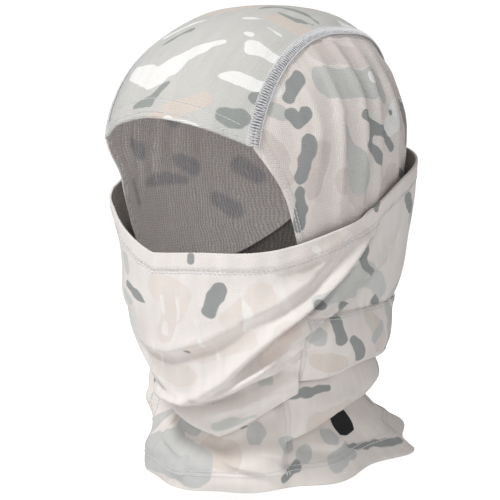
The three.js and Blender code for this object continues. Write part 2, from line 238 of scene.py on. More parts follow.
def collar_ring(z):
    """Half breadth, front, back and exponent of the collar's ring at each level."""
    levels = COLLAR[:, 0]
    z = np.clip(z, levels[0], levels[-1])
    k = np.clip(np.searchsorted(levels, z, side="right") - 1, 0, len(levels) - 2)
    slopes = np.gradient(COLLAR[:, 1:], levels, axis=0)
    span = (levels[k + 1] - levels[k])[..., None]
    t = ((z - levels[k])[..., None]) / span
    h = t * t * (3 - 2 * t)
    value = lerp(COLLAR[k, 1:], COLLAR[k + 1, 1:], h)
    return value + span * (t * (1 - t) ** 2 * slopes[k] - t * t * (1 - t) * slopes[k + 1])


def ring_radius(half, front, back, square, angle):
    """The radius of a rounded ring at an angle from the middle of its front."""
    ahead = np.cos(angle) > 0
    power = np.where(ahead, square, np.maximum(square, 2.2))
    depth = np.where(ahead, front, back)
    total = np.abs(np.sin(angle) / half) ** power + np.abs(np.cos(angle) / depth) ** power
    return total ** (-1 / power)


def ring_point(radius, angle, z):
    radius, angle, z = np.broadcast_arrays(radius, angle, z)
    return np.stack([radius * np.sin(angle), -radius * np.cos(angle), z], -1)


OPENING = np.arctan2(*(np.array([1, -1]) * side_direction(-54, 150)[:2]))


def collar_radius(angle, z):
    """The collar's outer face, which clears the hood behind the face opening."""
    ring = collar_ring(z)
    form = ring_radius(*(ring[..., k] for k in range(4)), angle)
    share = hood_share(z)
    half, front, back = (HOOD[key] * share for key in ("half", "front", "back"))
    inside = ring_radius(half, front, back, HOOD_SQUARE, angle) + 2
    covered = smooth(np.abs(folded(angle)), OPENING - 12 * DEG, OPENING)
    return lerp(form, np.maximum(form, inside), covered)


def around_level(front, side, back):
    """A level that runs smoothly round from the front over the sides to the back."""
    middle, tilt = (front + back) / 4 + side / 2, (front - back) / 2
    saddle = (front + back) / 4 - side / 2
    return lambda a: middle + tilt * np.cos(a) + saddle * np.cos(2 * a)


plain_hem = around_level(141, 165, 195)


def mask_hem(angle):
    """The mask's hem climbs more steeply past the nose on the wearer's right."""
    a = folded(angle) / DEG
    climb = 24 * np.clip((-a - 9) / 44, 0, 1) * (1 - smooth(-a, 66, 125))
    return plain_hem(angle) + climb + 1.2 * np.sin(3 * angle + 1) + 0.8 * np.sin(7 * angle)


def nape_level(angle):
    return 105.5 - 1.5 * smooth(np.abs(folded(angle)), SIDE_SEAM, np.pi)


CHIN_TURNS = [-90, -57, -33, -5, 8, 16, 24, 34, 50, 57, 90]
CHIN_LEVELS = [54, 51, 45, 40, 35, 32.5, 36, 42, 53, 57, 60]


def chin_lip(angle):
    """The chin fold's lowest level, deepest just to the wearer's left of the middle."""
    return np.interp(folded(angle) / DEG, CHIN_TURNS, CHIN_LEVELS)


def nape_lip(angle):
    a = np.abs(folded(angle)) / DEG
    return 66 + 5 * smooth(a, 60, 110) + 1.2 * np.sin(5 * angle)


# ---- Cloth grids ----
class Cloth:
    """A grid of points on a cloth's outer face, in millimetres."""

    def __init__(self, points, wrap=False, centre=(0, 0, 120)):
        self.points, self.wrap = points, wrap
        down = np.gradient(points, axis=0)
        if wrap:
            across = (np.roll(points, -1, 1) - np.roll(points, 1, 1)) / 2
        else:
            across = np.gradient(points, axis=1)
        normal = unit(np.cross(down, across))
        facing = np.sum(normal * (points - np.array(centre)) * [1, 1, 0.3])
        self.sign = 1 if facing > 0 else -1
        self.normals = normal * self.sign

    def at(self, row, col, lift=0.0):
        """The point lift millimetres over the cloth at a row and column between grid lines."""
        rows, cols = self.points.shape[:2]
        row = np.clip(row, 0, rows - 1.001)
        col = np.mod(col, cols) if self.wrap else np.clip(col, 0, cols - 1.001)
        i, j = row.astype(int), col.astype(int)
        f, g = (row - i)[..., None], (col - j)[..., None]
        k = (j + 1) % cols

        def mix(a):
            return lerp(lerp(a[i, j], a[i, k], g), lerp(a[i + 1, j], a[i + 1, k], g), f)

        normal = unit(mix(self.normals))
        return mix(self.points) + normal * np.asarray(lift, float)[..., None], normal


def to_row(points):
    """Millimetres over the hem, set down in metres in the row frame."""
    out = np.array(points, float).reshape(-1, 3) / 1000
    out[:, 2] -= TOP_LEVEL / 1000
    return out


def put(name, data):
    piece = bpy.data.objects.new(name, data)
    bpy.context.collection.objects.link(piece)
    return piece


def new_mesh(name, points, faces, materials, finish=None):
    mesh = bpy.data.meshes.new(name)
    mesh.from_pydata(to_row(points).tolist(), [], faces)
    for material in materials:
        mesh.materials.append(material)
    if finish is not None:
        mesh.polygons.foreach_set("material_index", finish)
    mesh.polygons.foreach_set("use_smooth", [True] * len(mesh.polygons))
    mesh.update()
    return put(name, mesh)


def make_cloth(name, cloth, materials, lay=None, layout=None, wall=1.0, present=None):
    """A closed sheet over a grid. lay is each point's place on the cloth, in millimetres."""
    rows, cols = cloth.points.shape[:2]
    count = rows * cols
    index = np.arange(count).reshape(rows, cols)
    following = np.roll(index, -1, 1) if cloth.wrap else index[:, 1:]
    first = index if cloth.wrap else index[:, :-1]
    quads = np.stack([first[:-1], first[1:], following[1:], following[:-1]], -1)
    if present is not None:
        quads = quads[present]
    quads = quads.reshape(-1, 4)
    if cloth.sign < 0:
        quads = quads[:, ::-1]
    wall = np.broadcast_to(np.asarray(wall, float), (rows, cols))[..., None]
    inner = cloth.points - cloth.normals * wall
    edges = np.concatenate([np.stack([quads[:, k], quads[:, (k + 1) % 4]], -1) for k in range(4)])
    code, back = edges[:, 0] * count + edges[:, 1], edges[:, 1] * count + edges[:, 0]
    rim = edges[~np.isin(code, back)]
    rim_quads = np.stack([rim[:, 1], rim[:, 0], rim[:, 0] + count, rim[:, 1] + count], -1)
    faces = np.concatenate([quads, quads[:, ::-1] + count, rim_quads])
    finish = np.repeat([0, min(1, len(materials) - 1), 0], [len(quads), len(quads), len(rim_quads)])
    points = np.concatenate([cloth.points.reshape(-1, 3), inner.reshape(-1, 3)])
    used, flat = np.unique(faces, return_inverse=True)
    faces = flat.reshape(faces.shape).tolist()
    piece = new_mesh(name, points[used], faces, materials, finish.astype(np.int32))
    if lay is not None:
        where = np.tile(lay.reshape(-1, 2), (2, 1))[used]
        corner = np.zeros(len(piece.data.loops), np.int32)
        piece.data.loops.foreach_get("vertex_index", corner)
        uv = piece.data.uv_layers.new(name="cloth_mm")
        uv.data.foreach_set("uv", where[corner].astype(np.float32).ravel())
    for key in PRINT_ORDER if layout else ():
        away = shapes(lay[..., 0], lay[..., 1], layout.get(key, []))
        both = np.tile(away.reshape(-1), 2)[used].astype(np.float32)
        piece.data.attributes.new(key, "FLOAT", "POINT").data.foreach_set("value", both)
    return piece


# ---- Threads ----
def tubes(paths, normals, radius, sides=6):
    """Tubes with closed ends along paths of equal count, shape (tubes, points, 3)."""
    tangent = unit(np.gradient(paths, axis=1))
    beside = unit(np.cross(tangent, normals))
    over = np.cross(beside, tangent)
    around = np.arange(sides) / sides * 2 * np.pi
    radius = np.broadcast_to(np.asarray(radius, float), paths.shape[:2])[..., None, None]
    ring = paths[:, :, None] + radius * (
        np.cos(around)[:, None] * beside[:, :, None] + np.sin(around)[:, None] * over[:, :, None]
    )
    m, n = paths.shape[:2]
    index = np.arange(m * n * sides).reshape(m, n, sides)
    a, b = index[:, :-1], index[:, 1:]
    quads = np.stack([a, np.roll(a, -1, 2), np.roll(b, -1, 2), b], -1).reshape(-1, 4)
    tips = np.concatenate([paths[:, :1], paths[:, -1:]], 1).reshape(-1, 3)
    tip = m * n * sides + np.arange(m * 2).reshape(m, 2)
    caps = []
    for end, ringed in ((0, index[:, 0]), (1, index[:, -1])):
        here = np.broadcast_to(tip[:, end : end + 1], ringed.shape)
        after = np.roll(ringed, -1, 1)
        pair = (after, ringed) if end == 0 else (ringed, after)
        caps.append(np.stack([here, *pair], -1).reshape(-1, 3))
    return np.concatenate([ring.reshape(-1, 3), tips]), quads, np.concatenate(caps)


def make_threads(name, groups, material):
    """One piece from several groups of tubes: (paths, normals, radius)."""
    points, faces, base = [], [], 0
    for paths, normals, radius in groups:
        p, quads, caps = tubes(paths, normals, radius)
        points.append(p)
        faces += (quads + base).tolist() + (caps + base).tolist()
        base += len(p)
    return new_mesh(name, np.concatenate(points), faces, [material])


def dashes(path, normal, pitch=2.9, length=2.3, radius=0.27, closed=False):
    """Single stitches along a fine path, each one bowed out of the cloth at its middle."""
    if closed:
        path, normal = np.concatenate([path, path[:1]]), np.concatenate([normal, normal[:1]])
    run = np.concatenate([[0], np.cumsum(np.linalg.norm(np.diff(path, axis=0), axis=1))])
    starts = np.arange(0.4, run[-1] - length, pitch)
    at = starts[:, None] + np.linspace(0, length, 5)
    lift = radius * np.array([-1.0, 0.35, 0.75, 0.35, -1.0])
    p = np.stack([np.interp(at, run, path[:, k]) for k in range(3)], -1)
    n = unit(np.stack([np.interp(at, run, normal[:, k]) for k in range(3)], -1))
    return p + n * lift[:, None], n, radius


def sewn(cloth, rows, cols, **stitch):
    """A row of stitches laid on a cloth through matching rows and columns."""
    return dashes(*cloth.at(rows, cols, 0.1), **stitch)


# ---- Printed shapes ----
FAR = 40.0
PRINT_ORDER = ("tan", "grey", "pale", "dark")  # each one over those before it


def shapes(x, y, drawn):
    """Distance to the nearest edge of the drawn shapes, negative inside them."""
    best = np.full(np.shape(x), FAR)
    for shape in drawn:
        shape = np.array(shape, float)
        away, _, share = along_line(x, y, shape[:, :2])
        best = np.minimum(best, away - np.interp(share, np.linspace(0, 1, len(shape)), shape[:, 2]))
    return best


def strewn(seed, box, count, length, half, tilt=(-1.2, 1.2)):
    """Drawn shapes strewn over a box (low x, high x, low y, high y) and kept off each other."""
    rng = np.random.default_rng(seed)
    out, kept = [], []
    for _ in range(count * 12):
        if len(out) >= count:
            break
        c = np.array([rng.uniform(box[0], box[1]), rng.uniform(box[2], box[3])])
        span, wide = rng.uniform(*length), rng.uniform(*half)
        if any(np.hypot(*(c - k)) < reach + span / 2 + wide for k, reach in kept):
            continue
        turn = rng.uniform(*tilt)
        step = np.array([np.sin(turn), np.cos(turn)]) * span / 2
        bend = rng.uniform(-0.35, 0.35) * span * np.array([np.cos(turn), -np.sin(turn)])
        halves = wide * rng.uniform(0.4, 0.9), wide, wide * 0.6
        out.append([(*p, h) for p, h in zip((c - step, c + bend / 2, c + step), halves)])
        kept.append((c, span / 2 + wide))
    return out


TURN_MM = 1.75  # across the crown's curve, per degree of turn
ANGLE_MM = 1.31  # around the collar, per degree


def rounds(rows, scale):
    """Shapes written in degrees across and level, turned into millimetres across."""
    return [[(a * scale, b, half) for a, b, half in shape] for shape in rows]


def round_mm(angle):
    """Millimetres round the neck from the middle of the front, towards the wearer's left."""
    return folded(angle) / DEG * ANGLE_MM


def crown_rows(rows):
    return [[(x, t * TURN_MM, half) for x, t, half in shape] for shape in rows]


# Each printed shape is a row of points: across, along and the half width there.
# Across is millimetres on the hood and degrees round the neck; along is degrees back on the crown
# and the level elsewhere.
CROWN_DRAWN = {
    "pale": [
        [(-31, 33, 5), (-10, 30, 7), (0, 34, 7.5), (7, 40, 6), (14, 44, 3.5), (21, 46, 0.8)],
        [(-29, 52, 3.2), (-12, 57, 2.4), (2, 61, 0.4)], [(15, 62, 1.1), (26, 65, 1)],
        [(27, 53, 1.8), (30, 53, 1.6)], [(33, 60, 0.8), (43, 59, 0.9)],
        [(37, 48, 6), (48, 48, 4), (54, 48, 2)],
        [(30, 33, 1.5), (39, 34, 4.5), (47, 34, 4.8), (54, 36, 3)],
        [(4, 17, 0.6), (22, 15, 2.2), (34, 13, 0.5)], [(-45, 62, 4), (-30, 70, 6), (-18, 84, 2)],
    ],
    "tan": [
        [(31, 69, 8), (42, 70, 9), (50, 73, 7)], [(-14, 66, 6), (0, 79, 7), (10, 84, 4)],
        [(-8, 13, 3), (14, 20, 6), (26, 24, 4)],
    ],
    "grey": [
        [(-17, 40, 3), (-15, 41, 3)], [(-44, 26, 4), (-36, 40, 7)],
    ],
    "dark": [
        [(-24, 43, 0.7), (-8, 51, 1.6)], [(-18, 20, 2), (-6, 22, 3.6), (2, 28, 1)],
        [(12, 74, 2.2), (15, 79, 2.8), (25, 82, 2.6), (42, 84, 2)],
        [(26, 74, 1.8), (36, 75, 2.2), (43, 80, 1.2)], [(40, 20, 5.5), (45, 20, 6)],
        [(51, 29, 4.5), (56, 29, 5)],
    ],
}
CROWN_PRINT = {key: crown_rows(rows) for key, rows in CROWN_DRAWN.items()}
for key, *scatter in (
    ("pale", 3, (-48, 48, 88, 172), 15, (14, 34), (2, 6)),
    ("tan", 4, (-46, 46, 90, 170), 7, (16, 30), (5, 8)),
    ("dark", 5, (-46, 46, 92, 172), 9, (8, 22), (1.6, 4.6)),
):
    CROWN_PRINT[key] += crown_rows(strewn(*scatter))
SIDE_PRINT = {
    "pale": [
        [(17, 240, 3), (20, 240, 3)], [(-66, 232, 4), (-58, 236, 3)], [(30, 212, 7), (44, 220, 8)],
    ],
    "tan": [
        [(-73, 209, 5), (-68, 202, 6), (-63, 186, 5)], [(-23, 183, 8), (-14, 179, 8), (-6, 170, 7)],
        [(-47, 178, 5), (-40, 200, 7)], [(14, 252, 6), (-22, 256, 7)], [(56, 236, 8), (66, 206, 10)],
        [(20, 172, 7), (34, 180, 9)],
    ],
    "grey": [
        [(-27, 239, 8.5), (0, 237, 9), (22, 237, 8)], [(-21, 217, 0.5), (-16, 200, 6), (-8, 184, 11)],
        [(-64, 224, 5), (-62, 223, 5)], [(24, 240, 5), (29, 229, 5)], [(78, 228, 5), (88, 200, 8)],
    ],
    "dark": [
        [(-43, 243, 2.8), (-49, 237, 3.6), (-55, 230, 2.6)],
        [(-55, 222, 4), (-53, 216, 3.2), (-47, 222, 3.8)],
        [(-48, 206, 4.6), (-49, 200, 5.2), (-54, 187, 3.6)],
        [(-54, 177, 3.4), (-53, 168, 4), (-53, 158, 3)],
        [(-1, 219, 2.8), (6, 213, 4.2), (22, 206, 3.4), (31, 199, 3.2)],
        [(6, 211, 2.6), (1, 202, 3.2), (8, 198, 3.4), (14, 191, 2.6)], [(31, 219, 1.6), (33, 219, 1.6)],
        [(62, 224, 2.6), (70, 212, 4.4), (66, 200, 2.6)], [(92, 214, 2), (96, 196, 3.4)],
        [(48, 182, 3), (62, 178, 2)],
    ],
}
RIGHT_PRINT = {
    "dark": [
        [(-28, 197, 5), (-20, 192, 6)], [(20, 184, 4.5), (34, 178, 5.5)],
        [(-16, 171, 3), (6, 173, 4.5), (26, 170, 2.5)], [(68, 178, 6), (78, 170, 5)],
        [(50, 156, 5), (62, 148, 6)], [(4, 214, 2.5), (18, 208, 3.5)], [(-40, 172, 3), (-34, 160, 4)],
    ],
}
for key, *scatter in (
    ("pale", 21, (-60, 90, 165, 260), 6, (12, 24), (3, 6)),
    ("tan", 22, (-66, 90, 160, 262), 8, (16, 30), (5, 8)),
    ("grey", 23, (-60, 90, 165, 262), 6, (14, 30), (5, 9)),
    ("dark", 24, (-58, 92, 214, 258), 8, (8, 24), (2, 5)),
):
    RIGHT_PRINT[key] = RIGHT_PRINT.get(key, []) + strewn(*scatter)
MASK_PRINT = {
    "dark": [
        [(21, 123, 4.6), (18, 111, 4)], [(10, 141, 1.8), (10, 139, 1.6)],
        [(-27, 120, 1.6), (-20, 115, 2.8), (-14, 111, 1.6)], [(96, 174, 5), (94, 165, 2)],
        [(93, 149, 1.6), (88, 136, 3), (93, 121, 2.4)], [(59, 113, 3.5), (63, 112, 3.5)],
        [(72, 110, 3), (76, 107, 3)], [(104, 108, 3), (108, 106, 2.4)], [(-32, 58, 1.8), (-28, 60, 1.6)],
        [(2, 88, 0.8), (6, 85, 1)],
    ],
    "grey": [
        [(-28, 135, 3.5), (-27, 128, 4)], [(-30, 114, 2.6), (-25, 110, 3)],
        [(60, 114, 5), (74, 122, 6.5), (90, 130, 5)], [(98, 122, 7), (110, 113, 6)],
        [(104, 182, 5), (112, 190, 6)], [(38, 65, 2.6), (42, 67, 2.6)], [(14, 39, 2.6), (34, 44, 3)],
    ],
    "tan": [
        [(-6, 122, 8), (4, 118, 8), (-3, 96, 6)], [(26, 106, 6), (37, 119, 8)],
        [(52, 135, 7), (66, 145, 9)], [(12, 86, 7), (29, 95, 8)], [(76, 160, 6), (84, 150, 5)],
        [(-14, 74, 6), (4, 70, 7)], [(40, 84, 6), (48, 100, 7)],
    ],
    "pale": [
        [(-4, 116, 0.8), (-3, 96, 1.2)], [(3, 122, 0.5), (4, 108, 1.1), (2, 92, 0.9)],
        [(12, 104, 1.6), (14, 90, 0.8)], [(30, 122, 0.8), (33, 108, 2.2), (31, 100, 1)],
        [(44, 124, 2.5), (48, 112, 1.2)], [(58, 146, 2), (62, 138, 1)], [(18, 92, 0.7), (21, 80, 1)],
        [(-10, 88, 1.2), (-8, 74, 0.8)],
    ],
}
NECK_PRINT = {
    "dark": [
        [(73, 101, 4), (75, 90, 4.4)], [(82, 89, 3), (92, 77, 5)],
    ],
    "grey": [
        [(61, 95, 5), (64, 92, 5)], [(102, 87, 4), (108, 90, 4)], [(118, 100, 5), (126, 92, 6)],
    ],
    "tan": [
        [(64, 78, 5), (78, 74, 6)], [(96, 100, 5), (112, 80, 7)],
    ],
}
SKIRT_PRINT = {
    "dark": [
        [(50, 57, 2.6), (76, 60, 2.2)], [(58, 14, 2.8), (49, 9, 2.2)],
        [(93, 20, 1.4), (104, 18, 2.8), (122, 17, 2.2)], [(26, 37, 1.4), (30, 37, 1.4)],
    ],
    "grey": [
        [(-44, 12, 10), (-18, 18, 14), (6, 13, 10)], [(-20, 38, 9), (-4, 36, 7)],
        [(33, 34, 5.5), (37, 34, 5.5)], [(52, 28, 5.5), (55, 27, 5.5)], [(79, 28, 3.5), (83, 27, 4)],
        [(78, 14, 5), (92, 18, 5)], [(62, 20, 4), (66, 21, 4)],
    ],
    "tan": [
        [(8, 24, 7), (22, 20, 8)], [(66, 40, 6), (90, 44, 6)],
    ],
}


STREWN_ROUND = (
    # colour, how many more than the others, lengths and half widths
    ("dark", 2, (6, 24), (2.0, 5.2)),
    ("grey", 0, (14, 34), (4, 8)),
    ("tan", 0, (14, 34), (5, 9)),
)


def ring_print(drawn, seed, low, high):
    """Shapes round the neck, with more strewn over the back and the wearer's right."""
    out = {key: rounds(rows, ANGLE_MM) for key, rows in drawn.items()}
    for start, end in ((-236, -48), (164, 236)):
        count = max(2, int((end - start) * (high - low) / 1300))
        for key, more, length, half in STREWN_ROUND:
            out[key] += strewn(seed, (start, end, low, high), count + more, length, half)
            seed += 1
    return out


# ---- Finishes ----
def srgb(r, g, b):
    out = []
    for v in (r, g, b):
        v = v / 255
        out.append(v / 12.92 if v <= 0.04045 else ((v + 0.055) / 1.055) ** 2.4)
    return (*out, 1.0)


def node(tree, kind, inputs=None, **settings):
    made = tree.nodes.new(kind)
    for key, value in settings.items():
        setattr(made, key, value)
    for key, value in (inputs or {}).items():
        if isinstance(value, bpy.types.NodeSocket):
            tree.links.new(value, made.inputs[key])
        else:
            made.inputs[key].default_value = value
    return made


def calc(tree, what, *values):
    return node(tree, "ShaderNodeMath", dict(enumerate(values)), operation=what).outputs[0]


def plus(tree, a, b):
    return calc(tree, "ADD", a, b)


def times(tree, a, b):
    return calc(tree, "MULTIPLY", a, b)


def noise(tree, place, scale, detail):
    inputs = {"Vector": place, "Scale": scale, "Detail": detail}
    return node(tree, "ShaderNodeTexNoise", inputs).outputs[0]


def centred_noise(tree, place, scale, detail):
    return calc(tree, "SUBTRACT", noise(tree, place, scale, detail), 0.5)


def wave(tree, across, rate):
    return calc(tree, "SINE", times(tree, across, rate))


def fade(tree, value, none, full, top=1.0, how="LINEAR"):
    """0 where the value is at none, rising to top where it is at full."""
    ends = {"Value": value, "From Min": none, "From Max": full, "To Min": 0.0, "To Max": top}
    return node(tree, "ShaderNodeMapRange", ends, interpolation_type=how).outputs[0]


def mix_colour(tree, share, a, b, how="MIX"):
    inputs = {0: share, 6: a, 7: b}
    return node(tree, "ShaderNodeMix", inputs, data_type="RGBA", blend_type=how).outputs[2]


def start_group(name, ins, outs):
    group = bpy.data.node_groups.new(name, "ShaderNodeTree")
    for label, kind, value in ins:
        socket = group.interface.new_socket(label, in_out="INPUT", socket_type="NodeSocket" + kind)
        if value is not None:
            socket.default_value = value
    for label, kind in outs:
        group.interface.new_socket(label, in_out="OUTPUT", socket_type="NodeSocket" + kind)
    return group, node(group, "NodeGroupInput").outputs, node(group, "NodeGroupOutput").inputs


def printed_group():
    """Four layers of printed shapes over a ground colour, with slightly uneven edges."""
    ins = [("Place", "Vector", None), ("Unevenness", "Float", 1.1), ("Ground", "Color", (0.8, 0.8, 0.8, 1))]
    for key in PRINT_ORDER:
        ins.append((key.title() + " distance", "Float", FAR))
        ins.append((key.title() + " colour", "Color", (0.5, 0.5, 0.5, 1)))
    tree, given, out = start_group("Printed camouflage", ins, [("Color", "Color")])
    wide = times(tree, centred_noise(tree, given["Place"], 0.09, 1.0), 5.5)
    fine = times(tree, centred_noise(tree, given["Place"], 0.9, 2.0), 0.2)
    shift = times(tree, plus(tree, wide, fine), given["Unevenness"])
    colour = given["Ground"]
    for label in map(str.title, PRINT_ORDER):
        away = plus(tree, given[label + " distance"], shift)
        mask = fade(tree, away, 0.45, -0.45, how="SMOOTHSTEP")
        colour = mix_colour(tree, mask, colour, given[label + " colour"])
    tree.links.new(colour, out["Color"])
    return tree


def knit_group():
    """Rows of knitted loops on the slant, with a painted shade for the small eyelet holes between them."""
    ins = [("Place", "Vector", None), ("Pitch", "Float", 1.5), ("Slant", "Float", 0.7)]
    tree, given, out = start_group("Knitted loops", ins, [("Height", "Float"), ("Eyelet shade", "Float")])
    inputs = {"Vector": given["Place"], "Angle": given["Slant"]}
    turned = node(tree, "ShaderNodeVectorRotate", inputs, rotation_type="Z_AXIS").outputs[0]
    axes = node(tree, "ShaderNodeSeparateXYZ", {"Vector": turned}).outputs
    waver = times(tree, noise(tree, given["Place"], 0.35, 2.0), 1.4)
    rate = calc(tree, "DIVIDE", 2 * np.pi, given["Pitch"])
    courses, wales = (wave(tree, plus(tree, axes[k], waver), rate) for k in (0, 1))
    loops = times(tree, courses, wales)
    fibre = times(tree, noise(tree, given["Place"], 3.2, 2.0), 0.8)
    tree.links.new(plus(tree, loops, fibre), out["Height"])
    # The eyelet output is a painted shade: it darkens the colour in the eyelets.
    tree.links.new(fade(tree, loops, 0.35, 0.95, how="SMOOTHSTEP"), out["Eyelet shade"])
    return tree


def ribs_group():
    """Upright ribs that waver a little, as on the reverse of knitted cloth, with a painted shade in the
    grooves between them.
    """
    ins = [("Place", "Vector", None), ("Pitch", "Float", 2.2), ("Waver", "Float", 6.0)]
    tree, given, out = start_group("Upright ribs", ins, [("Height", "Float"), ("Groove shade", "Float")])
    axes = node(tree, "ShaderNodeSeparateXYZ", {"Vector": given["Place"]}).outputs
    drift = times(tree, noise(tree, given["Place"], 0.09, 3.0), given["Waver"])
    rate = calc(tree, "DIVIDE", 2 * np.pi, given["Pitch"])
    rib = wave(tree, plus(tree, axes[0], drift), rate)
    height = plus(tree, rib, times(tree, wave(tree, axes[1], 3.6), 0.45))
    tree.links.new(height, out["Height"])
    # The groove output is a painted shade: it darkens the colour where the ribs are low.
    tree.links.new(fade(tree, height, -0.2, -1.3), out["Groove shade"])
    return tree


def wear_group():
    """Uneven tone from dye, handling and fibre, as a factor near one."""
    ins = [("Place", "Vector", None), ("Depth", "Float", 0.1)]
    tree, given, out = start_group("Uneven tone", ins, [("Tone", "Float")])
    inputs = {0: given["Place"], 1: (0.16, 0.02, 0.0)}
    drawn = node(tree, "ShaderNodeVectorMath", inputs, operation="MULTIPLY").outputs[0]
    wide = centred_noise(tree, given["Place"], 0.03, 4.0)
    fine = centred_noise(tree, given["Place"], 1.6, 3.0)
    streaks = times(tree, centred_noise(tree, drawn, 1.0, 3.0), 2.0)
    uneven = plus(tree, plus(tree, wide, fine), streaks)
    tree.links.new(plus(tree, 1.0, times(tree, uneven, given["Depth"])), out["Tone"])
    return tree


GROUPS = {"print": printed_group(), "knit": knit_group(), "ribs": ribs_group(), "wear": wear_group()}
INKS = {
    "tan": srgb(226, 216, 208),
    "grey": srgb(204, 204, 202),
    "pale": srgb(246, 245, 243),
    "dark": srgb(157, 160, 159),
}


def group_node(tree, name, inputs):
    return node(tree, "ShaderNodeGroup", inputs, node_tree=GROUPS[name]).outputs


def start_material(name, roughness=0.9):
    """A matt cloth finish, with the soft sheen of knitted yarn."""
    material = bpy.data.materials.new(name)
    material.use_nodes = True
    tree = material.node_tree
    shader = tree.nodes["Principled BSDF"]
    shader.inputs["Roughness"].default_value = roughness
    shader.inputs["Specular IOR Level"].default_value = 0.22
    shader.inputs["Sheen Weight"].default_value = 0.12
    shader.inputs["Sheen Roughness"].default_value = 0.5
    return material, tree, shader


def shade(tree, shader, colour, tone, height, strength, distance=0.0004):
    """Join a colour, the factor on it and the weave's relief to the shader."""
    factor = node(tree, "ShaderNodeCombineColor", {0: tone, 1: tone, 2: tone}).outputs[0]
    tree.links.new(mix_colour(tree, 1.0, colour, factor, "MULTIPLY"), shader.inputs["Base Color"])
    bump = node(tree, "ShaderNodeBump", {"Height": height, "Strength": strength, "Distance": distance})
    tree.links.new(bump.outputs[0], shader.inputs["Normal"])


def on_cloth(tree):
    return node(tree, "ShaderNodeUVMap", uv_map="cloth_mm").outputs[0]


def drawn_distance(tree, key):
    return node(tree, "ShaderNodeAttribute", attribute_name=key).outputs["Fac"]


def printed_cloth(name, ground, pitch=1.5, slant=0.75, depth=0.5, **own_inks):
    material, tree, shader = start_material(name)
    place = on_cloth(tree)
    inputs = {"Place": place, "Ground": ground}
    for key in PRINT_ORDER:
        inputs[key.title() + " distance"] = drawn_distance(tree, key)
        inputs[key.title() + " colour"] = own_inks.get(key, INKS[key])
    colour = group_node(tree, "print", inputs)["Color"]
    knit = group_node(tree, "knit", {"Place": place, "Pitch": pitch, "Slant": slant})
    tone = group_node(tree, "wear", {"Place": place})["Tone"]
    # Painted shade: the knit's eyelets are darkened a little in the colour.
    eyelet_shade = calc(tree, "SUBTRACT", 1.0, times(tree, knit["Eyelet shade"], 0.09))
    shade(tree, shader, colour, times(tree, tone, eyelet_shade), knit["Height"], depth)
    return material


def reverse_cloth(name, light, deep, painted_glow=0.0):
    """The reverse, with ribs and painted shade in their grooves, the print's faint show-through and a little
    painted glow that stands in for light through the cloth.
    """
    material, tree, shader = start_material(name, 0.94)
    place = on_cloth(tree)
    ribs = group_node(tree, "ribs", {"Place": place})
    tone = group_node(tree, "wear", {"Place": place, "Depth": 0.12})["Tone"]
    show_through = fade(tree, drawn_distance(tree, "dark"), 1.5, -1.5, top=0.6)
    colour = mix_colour(tree, show_through, light, deep)
    # Painted shade: the grooves between the ribs are darkened in the colour and in the glow.
    groove_shade = calc(tree, "SUBTRACT", 1.0, times(tree, ribs["Groove shade"], 0.35))
    shade(tree, shader, colour, times(tree, tone, groove_shade), ribs["Height"], 0.6, 0.0005)
    # Painted glow: an emission in the reverse's own colours stands in for light coming through the thin
    # cloth.
    tree.links.new(mix_colour(tree, groove_shade, deep, colour), shader.inputs["Emission Color"])
    shader.inputs["Emission Strength"].default_value = painted_glow
    return material


def thread_material(name, colour):
    material, tree, shader = start_material(name, 0.7)
    fluff = noise(tree, node(tree, "ShaderNodeTexCoord").outputs["Object"], 900.0, 2.0)
    tone = plus(tree, 0.86, times(tree, fluff, 0.26))
    shade(tree, shader, colour, tone, fluff, 0.4, 0.0002)
    return material


def ink_material():
    """Black ink that lets a little of the knit's grain show."""
    material, tree, shader = start_material("printed ink", 0.6)
    shader.inputs["Sheen Weight"].default_value = 0.0
    place = on_cloth(tree)
    knit = group_node(tree, "knit", {"Place": place, "Pitch": 1.3, "Slant": 0.75})
    tone = group_node(tree, "wear", {"Place": place, "Depth": 0.3})["Tone"]
    shade(tree, shader, srgb(34, 35, 38), tone, knit["Height"], 0.5)
    return material


def label_material():
    material, tree, shader = start_material("woven label", 0.55)
    place = on_cloth(tree)
    ribs = group_node(tree, "ribs", {"Place": place, "Pitch": 0.7, "Waver": 0.1})
    tone = group_node(tree, "wear", {"Place": place})["Tone"]
    shade(tree, shader, srgb(240, 239, 235), tone, ribs["Height"], 0.3)
    return material


CROWN_CLOTH = printed_cloth(
    "crown cloth", srgb(208, 207, 203), tan=srgb(219, 208, 199), dark=srgb(158, 162, 159)
)
SIDE_CLOTH = printed_cloth(
    "side cloth", srgb(236, 228, 223), tan=srgb(224, 213, 208), grey=srgb(206, 206, 203)
)
FINE_KNIT = {"pitch": 1.2, "slant": 0.2, "depth": 0.35}
MASK_INKS = {"pale": srgb(243, 239, 235), "tan": srgb(234, 225, 219), "grey": srgb(215, 216, 213)}
MASK_CLOTH = printed_cloth("mask cloth", srgb(239, 233, 229), **FINE_KNIT, **MASK_INKS)
NECK_CLOTH = printed_cloth("neck cloth", srgb(236, 229, 224), **FINE_KNIT)
# The hood's and the mask's reverses carry a little painted glow for light through the cloth; the neck's has
# none.
REVERSE = reverse_cloth("cloth reverse", srgb(236, 230, 228), srgb(178, 179, 187), painted_glow=0.08)
MASK_REVERSE = reverse_cloth("mask cloth reverse", srgb(168, 163, 160), srgb(132, 132, 136), painted_glow=0.01)
NECK_REVERSE = reverse_cloth("neck cloth reverse", srgb(196, 190, 186), srgb(150, 150, 150))
THREAD = thread_material("pale thread", srgb(222, 222, 224))
GREY_THREAD = thread_material("grey thread", srgb(150, 151, 155))
INK = ink_material()
LABEL = label_material()


